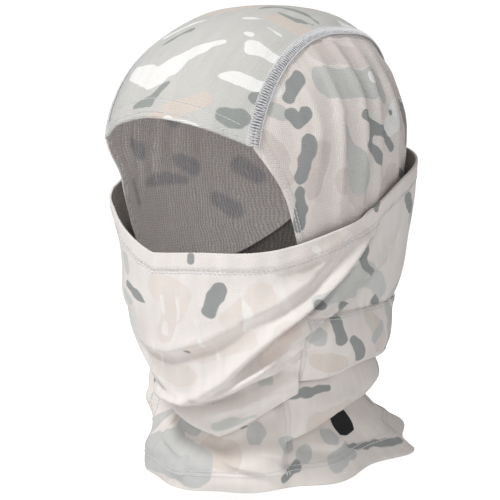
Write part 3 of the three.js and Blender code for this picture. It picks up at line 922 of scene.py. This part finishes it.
# ---- The crown cloth ----
CROWN_ROWS, CROWN_COLS = 210, 72
CROWN_REAR = float(turn_at_level(CROWN_HALF["nape"], CROWN_FOOT, behind=True))
share = np.linspace(-1, 1, CROWN_COLS)[None, :]
front_turn = brow_turn(share)
down = np.linspace(0, 1, CROWN_ROWS)[:, None]
crown_turn = lerp(front_turn, CROWN_REAR, down)
crown_x = share * (crown_half(crown_turn) - SEAM_EDGE)
crown_dir = hood_direction(lean_at(crown_x, crown_turn), crown_turn)
from_brow = (crown_turn - front_turn) * 100
off_seam = crown_half(crown_turn) - np.abs(crown_x)
free = smooth(off_seam, 0, 9)
relief = 0.7 * ripple(crown_x, crown_turn * 100, seed=11, length=46) * free
relief += 0.45 * (1 - smooth(from_brow, BROW_HEM - 2, BROW_HEM + 0.5))
relief -= 0.5 * hump(from_brow - BROW_HEM, 1.2)
relief += 0.55 * ripple(crown_x, crown_turn * 30, seed=12, length=16) * (1 - smooth(from_brow, 0, 14))
relief -= 0.35 * hump(off_seam - 5, 2) * (1 + 0.6 * np.sin(crown_turn * 100 / 1.1))
crown = Cloth(hood_point(crown_dir, CLOTH + relief), centre=HOOD_CENTRE)
crown_lay = np.stack([crown_x, crown_turn / DEG * TURN_MM], -1)
crown_cloth = make_cloth("crown_cloth", crown, [CROWN_CLOTH, REVERSE], crown_lay, CROWN_PRINT)

# ---- The hood's side cloths ----
SIDE_ROWS, SIDE_COLS = 100, 120
CORNER_TURN = float(brow_turn(1.0))
side_top_level = (CROWN_FOOT + HOOD["middle"]) / 2
SIDE_TOP_TURN = float(turn_at_level(CROWN_HALF["nape"], side_top_level, behind=True))
OPENING_RUN, SIDE_DROP = 150, 120  # across the side cloth's columns and down its rows
FAR_EDGE_IN = 7  # how far the opening's edge is drawn in on the wearer's right
opening_knots = [seam_direction(CORNER_TURN, SEAM_EDGE), *(side_direction(y, z) for y, z in FACE_EDGE)]
foot_knots = [opening_knots[-1], *(side_direction(y, HOOD_FOOT) for y in (0, 54))]
foot_knots.append(seam_direction(CROWN_REAR, SEAM_EDGE))


def side_grid():
    """Directions over the side cloth, spanned between its four edges."""
    u, v = np.meshgrid(np.linspace(0, 1, SIDE_COLS), np.linspace(0, 1, SIDE_ROWS))
    top = seam_direction(lerp(CORNER_TURN, SIDE_TOP_TURN, u[0]), SEAM_EDGE)[None]
    bottom = through(foot_knots, u[0])[None]
    front = through(opening_knots, v[:, 0])[:, None]
    rear = seam_direction(lerp(SIDE_TOP_TURN, CROWN_REAR, v[:, 0]), SEAM_EDGE)[:, None]
    u, v = u[..., None], v[..., None]
    patch = top * (1 - v) + bottom * v + front * (1 - u) + rear * u
    patch -= top[:, :1] * (1 - u) * (1 - v) + top[:, -1:] * u * (1 - v)
    patch -= bottom[:, :1] * (1 - u) * v + bottom[:, -1:] * u * v
    return unit(patch), u[..., 0], v[..., 0]


SIDE_FOLDS = [
    ([(-24, 262), (-22, 220), (-26, 165)], 4.5, 1.3),
    ([(-6, 268), (0, 225), (-6, 160)], 5.5, 1.5),
    ([(16, 264), (18, 225), (12, 165)], 5.0, 1.2),
    ([(38, 252), (42, 215), (40, 170)], 7.0, 1.3),
    ([(-44, 250), (-40, 210), (-44, 170)], 5.0, 0.8),
    ([(64, 240), (72, 210), (66, 170)], 7.0, 1.1),
]


def side_relief(y, z, u, v, seed):
    """Upright folds in the side cloth, flat at the crown seam."""
    lift = np.zeros(y.shape)
    for line, width, height in SIDE_FOLDS:
        away, side, share_of = along_line(y, z, line)
        body = hump(away, np.where(side > 0, width, width * 0.6))
        lift += 2.0 * height * body * np.sin(np.pi * np.clip(share_of, 0.06, 0.94)) ** 0.6
    lift -= 1.5
    lift += 0.7 * ripple(y, z, seed, length=30)
    return lift * smooth(v, 0, 0.09) * smooth(1 - u, 0, 0.06)


side_directions, side_u, side_v = side_grid()
side_base = hood_point(side_directions)
side_y, side_z = side_base[..., 1], side_base[..., 2]
side_lay = np.stack([side_y, side_z], -1)
edge_run = side_u * OPENING_RUN
side_cloths = {}
for label, mirror, layout, seed in (("left", 1, SIDE_PRINT, 31), ("right", -1, RIGHT_PRINT, 37)):
    lift = side_relief(side_y, side_z, side_u, side_v, seed)
    lift += 0.5 * (1 - smooth(edge_run, OPENING_HEM - 1.5, OPENING_HEM + 0.5))
    lift -= 0.4 * hump(edge_run - OPENING_HEM, 1)
    lift -= 0.3 * hump(side_v * SIDE_DROP - 4, 2) * (1 + 0.6 * np.sin(side_y / 1.1))
    if mirror < 0:
        lift -= FAR_EDGE_IN * smooth(206 - side_z, 0, 30) * (1 - smooth(edge_run, 12, 70))
    points = hood_point(side_directions, CLOTH + lift)
    points[..., 0] *= mirror
    side = Cloth(points, centre=HOOD_CENTRE)
    made = make_cloth(f"{label}_side_cloth", side, [SIDE_CLOTH, REVERSE], side_lay, layout)
    side_cloths[label] = (side, made)

# ---- Flatlock stitching between the crown and the sides ----
SEAM_STEP = 1.7


def flatlock(mirror):
    """A ladder of cross threads between two chained edges, over a flat tape."""
    fine = np.linspace(CORNER_TURN + 0.4 * DEG, CROWN_REAR - 1 * DEG, 900)
    middle = hood_point(seam_direction(fine, 0.0))
    run = np.concatenate([[0], np.cumsum(np.linalg.norm(np.diff(middle, axis=0), axis=1))])
    steps = np.arange(0, run[-1] - 1, SEAM_STEP)
    across = np.array([-2.2, -1.2, 0.0, 1.2, 2.2])
    height = np.array([0.25, 0.55, 0.65, 0.55, 0.25])
    slant = np.array([0.0, 0.2, 0.5, 0.8, 1.0])
    uneven = np.random.default_rng(9).normal(0, 0.16, (len(steps), 1))

    def laid(turn, beside, lift):
        low = hood_point(seam_direction(turn, beside), CLOTH + lift)
        out = unit(hood_point(seam_direction(turn, beside), CLOTH + 1 + lift) - low)
        return low * [mirror, 1, 1], out * [mirror, 1, 1]

    groups = []
    for way, rise in ((1, 0.0), (-1, 0.25)):
        turn = np.interp(steps[:, None] + slant + uneven * way, run, fine)
        beside = np.broadcast_to(across * way, turn.shape) + uneven
        groups.append((*laid(turn, beside, height + rise), 0.29))
    for beside in (-2.3, 2.3):
        t = np.interp(steps[:, None] + np.linspace(0, 1.5, 4), run, fine)
        weave = beside + 0.25 * np.array([-1, 1, 1, -1])
        chain, out = laid(t, np.broadcast_to(weave, t.shape), np.array([0.35, 0.6, 0.6, 0.35]))
        groups.append((chain, out, 0.3))
    rows = np.interp(np.linspace(0, run[-1], 220), run, fine)[:, None]
    tape, _ = laid(*np.broadcast_arrays(rows, np.linspace(-2.3, 2.3, 7)), np.full((220, 7), 0.2))
    return groups, Cloth(tape, centre=HOOD_CENTRE)


for label, mirror in (("left", 1), ("right", -1)):
    groups, tape = flatlock(mirror)
    threads = make_threads(f"{label}_crown_seam_thread", groups, THREAD)
    band = make_cloth(f"{label}_crown_seam_tape", tape, [GREY_THREAD], wall=0.6)
    for piece in (threads, band):
        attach(piece, "hood")
    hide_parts(f"{label}_crown_seam")

# ---- Stitching along the brow and the opening's sides ----
BROW_STITCH = {"pitch": 2.7, "length": 2.1, "radius": 0.24}
brow_groups = []
brow_cols = np.linspace(3.2, CROWN_COLS - 4.2, 260)
crown_run = np.interp(brow_cols, np.arange(CROWN_COLS), (CROWN_REAR - front_turn[0]) * 100)
for inset in (3.6, 10.8):
    brow_groups.append(sewn(crown, inset / crown_run * (CROWN_ROWS - 1), brow_cols, **BROW_STITCH))
opening_rows = np.linspace(3.5, SIDE_ROWS - 2, 240)
for side, _ in side_cloths.values():
    for inset in (3.2, 6.0):
        opening_cols = np.full(opening_rows.shape, inset / OPENING_RUN * (SIDE_COLS - 1))
        brow_groups.append(sewn(side, opening_rows, opening_cols, **BROW_STITCH))
brow_thread = make_threads("brow_stitching", brow_groups, THREAD)

# ---- The mask cloth, one length of cloth from the hem on the nose to the fold below the chin ----
RING_COLS = 360
UPPER_ROWS, LOWER_ROWS, CURL_ROWS = 46, 52, 9
MASK_FOLDS = [
    # a line of (degrees, level), width above it and height
    ([(100, 176), (84, 160), (64, 145), (44, 136)], 5.0, 1.5),
    ([(99, 160), (94, 154), (73, 132), (55, 111), (45, 100), (35, 87), (23, 70), (11, 59)], 8.0, 4.4),
    ([(112, 142), (100, 134), (82, 119), (66, 106), (50, 92), (37, 75), (22, 61)], 6.5, 3.4),
    ([(64, 92), (55, 87), (40, 71), (28, 62), (10, 54)], 5.0, 2.6),
    ([(70, 146), (56, 128), (44, 116), (34, 108)], 7.0, 1.5),
    ([(30, 104), (16, 92), (-2, 84), (-20, 84)], 8.0, 1.6),
    ([(-96, 150), (-78, 128), (-58, 104), (-38, 84), (-18, 68), (-4, 59)], 6.0, 1.5),
    ([(-106, 132), (-84, 112), (-60, 90), (-40, 72), (-24, 63)], 5.0, 1.2),
    ([(-72, 140), (-52, 122), (-36, 108)], 6.0, 0.7),
    ([(84, 122), (64, 99), (50, 86), (35, 74), (18, 63)], 4.0, 1.7),
    ([(54, 70), (42, 60), (28, 51), (14, 46)], 4.0, 2.4),
    ([(50, 60), (38, 52), (26, 44)], 3.5, 1.6),
    ([(70, 118), (56, 104), (44, 92), (30, 78)], 3.5, 1.2),
    ([(-50, 60), (-32, 53), (-12, 48)], 4.5, 1.9),
    ([(92, 172), (78, 152), (62, 136)], 5.0, 0.9),
    ([(150, 170), (176, 150)], 9.0, 1.6),
    ([(-160, 176), (-130, 150), (-116, 138)], 9.0, 1.8),
]
FOLDS_PAST_SEAM = MASK_FOLDS[1:3] + MASK_FOLDS[6:8]
CHIN_FOLD = [(-44, 66), (-30, 56), (3, 52.5), (20, 60), (33, 69), (52, 78)], 7.0, 4.9
curl_steps = np.arange(1, CURL_ROWS + 1)[:, None] * 1.5  # the print runs on over a curl's rows


def far_side(angle, z):
    """How much closer the cloth lies to the face on the wearer's right, most of all at the jaw."""
    return (5.0 + 5.0 * smooth(98 - z, 0, 40)) * hump(folded(angle) / DEG + 56, 28)


def fold_relief(a, z, line, width, height):
    """A ridge that rises softly above its line and drops sharply below it."""
    away, side, part = along_line(a, z, [(turn * ANGLE_MM, level) for turn, level in line])
    gone = np.sin(np.pi * np.clip(0.04 + 0.92 * part, 0, 1)) ** 0.55
    above = 0.65 * hump(away, 0.6 * width) + 0.35 * hump(away, 1.6 * width)
    below = hump(away, 1.8) - 0.7 * (hump(away - 4.4, 2.8) - hump(4.4, 2.8) * hump(away, 1.8))
    return 2.2 * height * gone * np.where(side > 0, above, below)


def pucker(a, over_seam):
    """Small gathers where the nape seam draws the cloth in."""
    return (0.9 + 0.5 * np.sin(a / 1.3 + 2 * np.sin(a / 7))) * hump(over_seam, 4.0)


def mask_relief(angle, z):
    """The mask's folds, hem and seams, over the collar's form."""
    a = round_mm(angle)
    lift = np.zeros(np.broadcast(a, z).shape)
    for line, width, height in MASK_FOLDS:
        lift += fold_relief(a, z, line, width, height)
    lift += fold_relief(a, z, *CHIN_FOLD) * lerp(0.3, 1, smooth(a, -46, -6))
    hem = mask_hem(angle)
    lift -= far_side(angle, z)
    calm = smooth(hem - z, 2, 26)
    lift = lift * (0.25 + 0.75 * calm)
    lift += 0.5 * ripple(np.sin(angle) * 80, np.cos(angle) * 80 + z, seed=41, length=34) * calm
    in_hem = hem - z - MASK_HEM
    lift += 0.55 * (1 - smooth(in_hem, -1.7, 0.3)) - 0.45 * hump(in_hem, 1.2)
    lift += 0.35 * np.sin(a / 2.1) * hump(in_hem + 0.2, 5)
    lift -= pucker(a, z - nape_level(angle)) * smooth(np.abs(folded(angle)), SIDE_SEAM - 4 * DEG, SIDE_SEAM)
    seam = np.abs(np.abs(a) - round_mm(SIDE_SEAM))
    lift -= 0.4 * hump(seam, 2.0) * (z < nape_level(angle))
    return lift


def curl_under(points, z_edge, radius, angle, rows, turn=3.6):
    """Rows that carry a hanging edge on round underneath and up inside."""
    t = np.linspace(0, 1, rows + 1)[1:, None] * turn
    start = np.linalg.norm(points[-1, :, :2], axis=-1)[None]
    radial = start - radius + radius * np.cos(t)
    radial -= 3.0 * np.maximum(0, t - np.pi)
    level = z_edge[None] - radius * np.sin(np.minimum(t, np.pi)) + 9 * np.maximum(0, t - np.pi)
    return ring_point(radial, angle[None], level)


mask_angle = np.arange(RING_COLS) / RING_COLS * 2 * np.pi - np.pi
upper = lerp(mask_hem(mask_angle)[None], nape_level(mask_angle)[None], np.linspace(0, 1, UPPER_ROWS)[:, None])
lip = chin_lip(mask_angle)
lower = lerp(nape_level(mask_angle)[None], (lip + LIP_CURL)[None], np.linspace(0, 1, LOWER_ROWS)[1:, None])
mask_level = np.concatenate([upper, lower])
mask_ring = np.broadcast_to(mask_angle, mask_level.shape)
relief = mask_relief(mask_ring, mask_level)
relief += 2.6 * smooth(lip + 20 - mask_level, 0, 16) * (np.cos(mask_ring) > 0)
mask_points = ring_point(collar_radius(mask_ring, mask_level) + relief, mask_ring, mask_level)
curl = curl_under(mask_points, lip + LIP_CURL, LIP_CURL, mask_angle, CURL_ROWS)
mask_points = np.concatenate([mask_points, curl])
mask_level = np.concatenate([mask_level, lip[None] - curl_steps])
mask_ring = np.broadcast_to(mask_angle, mask_level.shape)
mask = Cloth(mask_points, wrap=True)
in_front = np.abs(mask_angle + np.pi / RING_COLS) < SIDE_SEAM
present = np.ones((len(mask_points) - 1, RING_COLS), bool)
present[UPPER_ROWS - 1 :] = in_front
mask_lay = np.stack([mask_ring / DEG * ANGLE_MM, mask_level], -1)
mask_cloth = make_cloth(
    "mask_cloth",
    mask,
    [MASK_CLOTH, MASK_REVERSE],
    mask_lay,
    ring_print(MASK_PRINT, seed=50, low=110, high=185),
    present=present,
    wall=0.9 + 0.5 * (1 - smooth(mask_hem(mask_ring) - mask_level, 8, 10)),
)

# ---- The nape cloth, hanging in a roll from the puckered seam behind the ears ----
NAPE_COLS, NAPE_ROWS = 250, 34
nape_angle = np.linspace(SIDE_SEAM - 1.6 * DEG, 2 * np.pi - SIDE_SEAM + 1.6 * DEG, NAPE_COLS)
nape_edge = nape_lip(nape_angle)
nape_top = nape_level(nape_angle) + 1.5
nape_down = np.linspace(0, 1, NAPE_ROWS)[:, None]
nape_z = lerp(nape_top[None], (nape_edge + LIP_CURL)[None], nape_down)
nape_ring = np.broadcast_to(nape_angle, nape_z.shape)


def nape_relief(angle, z, top, edge):
    """The nape's belly between its seam and its curl, with the mask's folds running on into it."""
    a = round_mm(angle)
    part = np.clip((top - z) / (top - edge), 0, 1)
    ends = smooth(np.abs(folded(angle)), SIDE_SEAM, SIDE_SEAM + 14 * DEG)
    lift = (1.0 + 3.2 * ends) * np.sin(np.pi * np.clip(part * 0.62, 0, 1)) ** 1.2
    for line, width, height in FOLDS_PAST_SEAM:
        lift += 0.7 * fold_relief(a, z, line, width, height) * (1 - smooth(part, 0.2, 0.9))
    lift -= pucker(a, z - top)
    lift += 0.8 * np.sin(a / 9 + 3 * part) * part * ends
    lift += 0.6 * ripple(a, z, seed=61, length=22) * part
    lift = lerp(mask_relief(angle, np.minimum(z, top - 2)), lift, ends)
    around = np.abs(folded(angle)) - SIDE_SEAM
    return lift - 1.5 * np.maximum(smooth(z, top - 3, top - 1), 1 - smooth(around, -0.4 * DEG, 1.2 * DEG))


nape_lift = nape_relief(nape_ring, nape_z, nape_top[None], nape_edge[None])
nape_points = ring_point(collar_radius(nape_ring, nape_z) + nape_lift, nape_ring, nape_z)
curl = curl_under(nape_points, nape_edge + LIP_CURL, LIP_CURL, nape_angle, CURL_ROWS)
nape = Cloth(np.concatenate([nape_points, curl]))
nape_z = np.concatenate([nape_z, nape_edge[None] - curl_steps])
nape_lay = np.stack([np.broadcast_to(round_mm(nape_angle), nape_z.shape), nape_z], -1)
nape_layout = ring_print(NECK_PRINT, seed=70, low=72, high=104)
nape_cloth = make_cloth("nape_cloth", nape, [NECK_CLOTH, NECK_REVERSE], nape_lay, nape_layout)

# ---- The skirt cloth: a tube inside the collar, a roll below the nape, and the flare to the hem ----
SKIRT_ROWS = 96
TUBE = (56, 57, 72, 1.8)
TUBE_TOP = 100
HEM_RING = (71.5, 71, 119, 1.8)


def skirt_hem(angle):
    return 7 * (1 - np.cos(angle)) + 0.8 * np.sin(3 * angle + 0.5) + 0.4 * np.sin(8 * angle)


def hem_wave(angle):
    """The flare's waves at the hem, with one drawn out to a point behind the wearer's left shoulder."""
    point = 14 * hump(folded(angle - 121 * DEG), 0.2) + 4 * hump(folded(angle - 110 * DEG), 0.5)
    return 1.2 * np.sin(5 * angle + 0.7) + 0.8 * np.sin(9 * angle + 2) + point


def roll_lip(angle):
    """The lowest level of the roll of cloth below the nape."""
    a = np.abs(folded(angle)) / DEG
    return np.interp(a, [0, 48, 61, 84, 128, 180], [26, 28, 34, 43, 49, 50])


def front_section(tube, upper, edge, hem, foot, angle):
    """The skirt in front of the side seams, which falls straight from the tube to the hem."""
    levels = lerp(edge - 4, foot, np.linspace(0, 1, 10)[:, None] ** 0.9)
    open_share = smooth(levels, foot, edge - 4)
    ahead = smooth(np.cos(angle), -0.4, 0.5)
    flare = lerp(hem, tube, open_share ** lerp(0.5, 1.9, ahead))
    flare = flare + 1.5 * ahead * np.sin(np.pi * open_share)
    knots = [(tube, upper[0]), (tube, upper[1]), (tube, edge + 6), *zip(flare, levels)]
    return np.array(knots)


def rolled_section(tube, upper, edge, hem, foot, angle):
    """The skirt behind the side seams, which first hangs in a roll below the nape cloth."""
    ring = collar_radius(angle, np.full(angle.shape, 60.0)) + 0.6 * np.sin(6 * angle)
    low = roll_lip(angle)
    below = lerp(low - 4, foot, np.array([0.35, 0.72])[:, None])
    outer = lerp(ring - 8, hem, np.array([0.22, 0.62])[:, None])
    return np.array(
        [
            (tube, upper[0]),
            (tube, upper[1]),
            (tube + 0.5, edge + 6),
            (tube + 3.0, edge + 0.5),
            (ring - 1.5, edge - 2.2),
            (ring + 3.0, (edge - 5 + low) / 2),
            (ring + 2.4, low + 4),
            (ring - 1.6, low - 0.8),
            (ring - 7.5, low + 2.6),
            (ring - 12.0, low - 2.5),
            *zip(outer, below),
            (hem, foot),
        ]
    )


def skirt_profile(angle):
    """Knots of the skirt's section, from the tube's top down to the hem, shape (knots, angles, 2)."""
    turn = folded(angle)
    behind = smooth(np.abs(turn), 47 * DEG, 56 * DEG)
    edge = lerp(chin_lip(angle), nape_lip(angle), behind)
    upper = TUBE_TOP + 0 * edge, lerp(edge + 6, TUBE_TOP, 0.5)
    tube = ring_radius(*TUBE, angle) - 8.5 * hump(turn / DEG + 54, 30)
    hem, foot = ring_radius(*HEM_RING, angle) + hem_wave(angle), skirt_hem(angle)
    front, rolled = (
        section(tube, upper, edge, hem, foot, angle) for section in (front_section, rolled_section)
    )
    return lerp(front, rolled, behind[None, None, :])


skirt_angle = np.arange(RING_COLS) / RING_COLS * 2 * np.pi
profile = through(skirt_profile(skirt_angle), np.linspace(0, 1, SKIRT_ROWS))
skirt_down = profile[:, 1]
skirt_ring = np.broadcast_to(skirt_angle, skirt_down.shape)
SKIRT_FOLDS = [
    ([(14, 38), (34, 27), (56, 19)], 4.0, 0.9),
    ([(0, 28), (24, 17), (44, 12)], 5.0, 0.8),
    ([(-44, 34), (-24, 24), (-4, 20)], 5.0, 1.0),
    ([(64, 26), (84, 22), (100, 28)], 5.0, 0.7),
]
crumple = 0.9 * ripple(skirt_ring * 75, skirt_down * 1.6, seed=83, length=26)
crumple *= smooth(80 - skirt_down, 10, 40)
skirt_radius = profile[:, 0] + crumple
skirt_across = round_mm(skirt_ring)
clear_of_roll = smooth(roll_lip(skirt_ring) - skirt_down, 2, 8)
for line, width, height in SKIRT_FOLDS:
    skirt_radius += fold_relief(skirt_across, skirt_down, line, width, height) * clear_of_roll
over_hem = skirt_down - skirt_hem(skirt_ring) - SKIRT_HEM
skirt_radius += 0.5 * (1 - smooth(over_hem, -1, 1))
skirt = Cloth(ring_point(skirt_radius, skirt_ring, skirt_down), wrap=True, centre=(0, 0, 0))
skirt_lay = np.stack([skirt_across, skirt_down], -1)
skirt_layout = ring_print(SKIRT_PRINT, seed=90, low=6, high=58)
skirt_cloth = make_cloth("skirt_cloth", skirt, [NECK_CLOTH, NECK_REVERSE], skirt_lay, skirt_layout)


# ---- Stitching on the mask, nape and skirt ----
def row_at_level(levels, target):
    """The fractional row at which each column first comes down to its target level."""
    below = levels <= target[None]
    first = np.maximum(1, np.argmax(below, 0))
    cols = np.arange(levels.shape[1])
    a, b = levels[first - 1, cols], levels[first, cols]
    return first - 1 + (a - target) / np.where(a - b == 0, 1, a - b)


cols = np.arange(RING_COLS).astype(float)
hem_groups = []
for inset in (MASK_HEM - 1, MASK_HEM + 1.4):
    rows = row_at_level(mask_level, mask_hem(mask_angle) - inset)
    hem_groups.append(sewn(mask, rows, cols, closed=True))
mask_thread = make_threads("mask_hem_stitching", hem_groups, THREAD)

nape_cols = np.arange(NAPE_COLS).astype(float)
nape_groups = []
for offset, radius in ((3.0, 0.3), (4.6, 0.26)):
    rows = np.full(NAPE_COLS, offset)
    nape_groups.append(sewn(nape, rows, nape_cols, pitch=2.4, length=1.9, radius=radius))
nape_thread = make_threads("nape_seam_stitching", nape_groups, THREAD)

neck_threads = {}
neck_rows = np.linspace(2, NAPE_ROWS + 1, 160)
for label, col in (("left", 3.4), ("right", NAPE_COLS - 4.4)):
    stitches = sewn(nape, neck_rows, np.full(neck_rows.shape, col), pitch=2.6)
    neck_threads[label] = make_threads(f"{label}_neck_stitching", [stitches], THREAD)

skirt_groups = []
skirt_up = skirt_down[::-1]
for inset in (SKIRT_HEM - 1, SKIRT_HEM + 1.2):
    rows = SKIRT_ROWS - 1 - row_at_level(-skirt_up, -(skirt_hem(skirt_angle) + inset))
    skirt_groups.append(sewn(skirt, rows, cols, closed=True))
skirt_thread = make_threads("skirt_hem_stitching", skirt_groups, THREAD)

skirt_seams = {}
seam_rows = np.linspace(SKIRT_ROWS * 0.3, SKIRT_ROWS * 0.9, 240)
for label, degrees in (("left", 52.0), ("right", 308.0)):
    groups = []
    for beside in (-0.9, 0.9):
        seam_cols = np.full(seam_rows.shape, degrees + beside)
        groups.append(sewn(skirt, seam_rows, seam_cols, pitch=2.5, length=2.0))
    skirt_seams[label] = make_threads(f"{label}_skirt_stitching", groups, THREAD)

# ---- The plain printed mark and the blank care label ----
MARK_ANGLE, MARK_LEVEL, MARK_HALF = 97.0, 34.5, 8.5
MARK_POINTS = 17
BELOW_ROLL = SKIRT_ROWS - 40  # the skirt's first row that is clear of the roll
mark_u, mark_v = np.meshgrid(np.linspace(-1, 1, MARK_POINTS), np.linspace(1, -1, MARK_POINTS))
mark_cols = MARK_ANGLE + (1 - 0.16 * mark_v**2) * mark_u * MARK_HALF
mark_level = MARK_LEVEL + (1 - 0.16 * mark_u**2) * mark_v * MARK_HALF


def row_below_roll(level, col):
    levels = skirt_down[BELOW_ROLL:, int(col)]
    return BELOW_ROLL + np.interp(-level, -levels, np.arange(len(levels)))


mark_rows = np.vectorize(row_below_roll)(mark_level, mark_cols)
mark_points, _ = skirt.at(mark_rows, mark_cols, np.full(mark_rows.shape, 0.35))
mark_lay = np.stack([mark_cols, mark_level], -1)
mark = make_cloth("plain_mark", Cloth(mark_points, centre=(0, 0, 0)), [INK], mark_lay, wall=0.3)

LABEL_ROWS, LABEL_COLS = (3, 16), (170, 190)  # inside the tube's back
label_cols, label_rows = np.meshgrid(np.linspace(*LABEL_COLS, 16), np.linspace(*LABEL_ROWS, 24))
label_points, _ = skirt.at(label_rows, label_cols, np.full(label_rows.shape, -1.3))
label_lay = np.stack([label_cols * 1.3, label_rows * 2], -1)
label_cloth = Cloth(label_points, centre=(0, 0, 0))
care_label = make_cloth("care_label_cloth", label_cloth, [LABEL], label_lay, wall=0.4)

# ---- What each piece rides on ----
left_side, right_side = (side_cloths[label][1] for label in ("left", "right"))
for piece, body, slot_name, *stands_for in (
    (crown_cloth, "hood", "camo_crown", "crown_panel"),
    (left_side, "hood", "camo_side", "left_side_panel"),
    (right_side, "hood", "camo_side", "right_side_panel"),
    (brow_thread, "hood", "thread", "brow_stitch"),
    (mask_cloth, "bends", "camo_mask", "mask_panel", "chin_panel", "rear_band"),
    (mask_thread, "bends", "thread", "mask_hem_stitch", "rear_band_hem_stitch"),
    (nape_cloth, "bends", "camo_neck", "nape_panel"),
    (nape_thread, "bends", "thread", "nape_seam_stitch"),
    (neck_threads["left"], "bends", "thread", "left_neck_seam"),
    (neck_threads["right"], "bends", "thread", "right_neck_seam"),
    (skirt_cloth, "skirt", "camo_neck", "skirt_front", "skirt_back"),
    (skirt_thread, "skirt", "thread", "skirt_hem_stitch"),
    (skirt_seams["left"], "skirt", "thread", "left_skirt_seam"),
    (skirt_seams["right"], "skirt", "thread", "right_skirt_seam"),
    (mark, "skirt", "ink", "printed_mark"),
    (care_label, "skirt", "label", "care_label"),
):
    if body == "bends":
        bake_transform(piece)
    else:
        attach(piece, body)
    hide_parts(*stands_for)

# ---- Floor, light and camera ----
FLOOR, FLOOR_RADIUS = -0.3135, 6


def floor_material():
    material, tree, shader = start_material("pale floor", 0.9)
    shader.inputs["Sheen Weight"].default_value = 0.0
    grain = node(tree, "ShaderNodeTexNoise", {"Scale": 30.0, "Detail": 2.0})
    colour = mix_colour(tree, grain.outputs[0], srgb(250, 250, 250), srgb(254, 254, 254))
    tree.links.new(colour, shader.inputs["Base Color"])
    tree.links.new(colour, shader.inputs["Emission Color"])
    seen_directly = node(tree, "ShaderNodeLightPath").outputs["Is Camera Ray"]
    tree.links.new(times(tree, seen_directly, 0.8), shader.inputs["Emission Strength"])
    return material


floor_rim = np.arange(64) / 64 * 2 * np.pi
floor_mesh = bpy.data.meshes.new("floor")
floor_points = [(FLOOR_RADIUS * np.cos(t), FLOOR_RADIUS * np.sin(t), FLOOR) for t in floor_rim]
floor_mesh.from_pydata(floor_points, [], [list(range(len(floor_points)))])
floor_mesh.materials.append(floor_material())
put("floor", floor_mesh)

world = bpy.data.worlds.new("studio")
bpy.context.scene.world = world
world.use_nodes = True
world_tree = world.node_tree
backdrop = world_tree.nodes["Background"]
backdrop.inputs["Color"].default_value = (1, 1, 1, 1)
seen = node(world_tree, "ShaderNodeLightPath").outputs["Is Camera Ray"]
strength = plus(world_tree, 0.32, times(world_tree, seen, 0.71))
world_tree.links.new(strength, backdrop.inputs["Strength"])


def soft_light(name, place, aim, size, power):
    """A round lamp at a place, turned to the aim."""
    data = bpy.data.lights.new(name, "AREA")
    data.shape, data.size, data.energy = "DISK", size, power
    lamp = put(name, data)
    lamp.location = place
    lamp.rotation_mode = "QUATERNION"
    lamp.rotation_quaternion = (Vector(aim) - Vector(place)).to_track_quat("-Z", "Y")


AZIMUTH, ELEVATION, DISTANCE, LENS = 36 * DEG, 8 * DEG, 1.0, 118.08
right = Vector((np.cos(AZIMUTH), np.sin(AZIMUTH), 0))
level_back = Vector((np.sin(AZIMUTH), -np.cos(AZIMUTH), 0))
back = level_back * np.cos(ELEVATION) + Vector((0, 0, np.sin(ELEVATION)))
up = back.cross(right)
target = Vector((0, 0, -0.13575))
soft_light("key", target + back * 0.62 - right * 0.62 + Vector((0, 0, 1.15)), target, 0.42, 14.5)
soft_light("fill", target + back * 0.8 + right * 1.0 + Vector((0, 0, 0.2)), target, 0.9, 1.4)
soft_light("front", target + back * 1.2 - right * 0.15 + Vector((0, 0, 0.1)), target, 0.4, 2.0)

camera_data = bpy.data.cameras.new("camera")
camera_data.lens, camera_data.sensor_width = LENS, 36
camera_data.clip_start, camera_data.clip_end = 0.05, 50
camera = put("camera", camera_data)
aim = target - right * 0.00427 - up * 0.01098
camera.location = aim + back * DISTANCE
camera.rotation_mode = "QUATERNION"
camera.rotation_quaternion = (-back).to_track_quat("-Z", "Y")
bpy.context.scene.camera = camera
bpy.context.scene.view_settings.view_transform = "Standard"
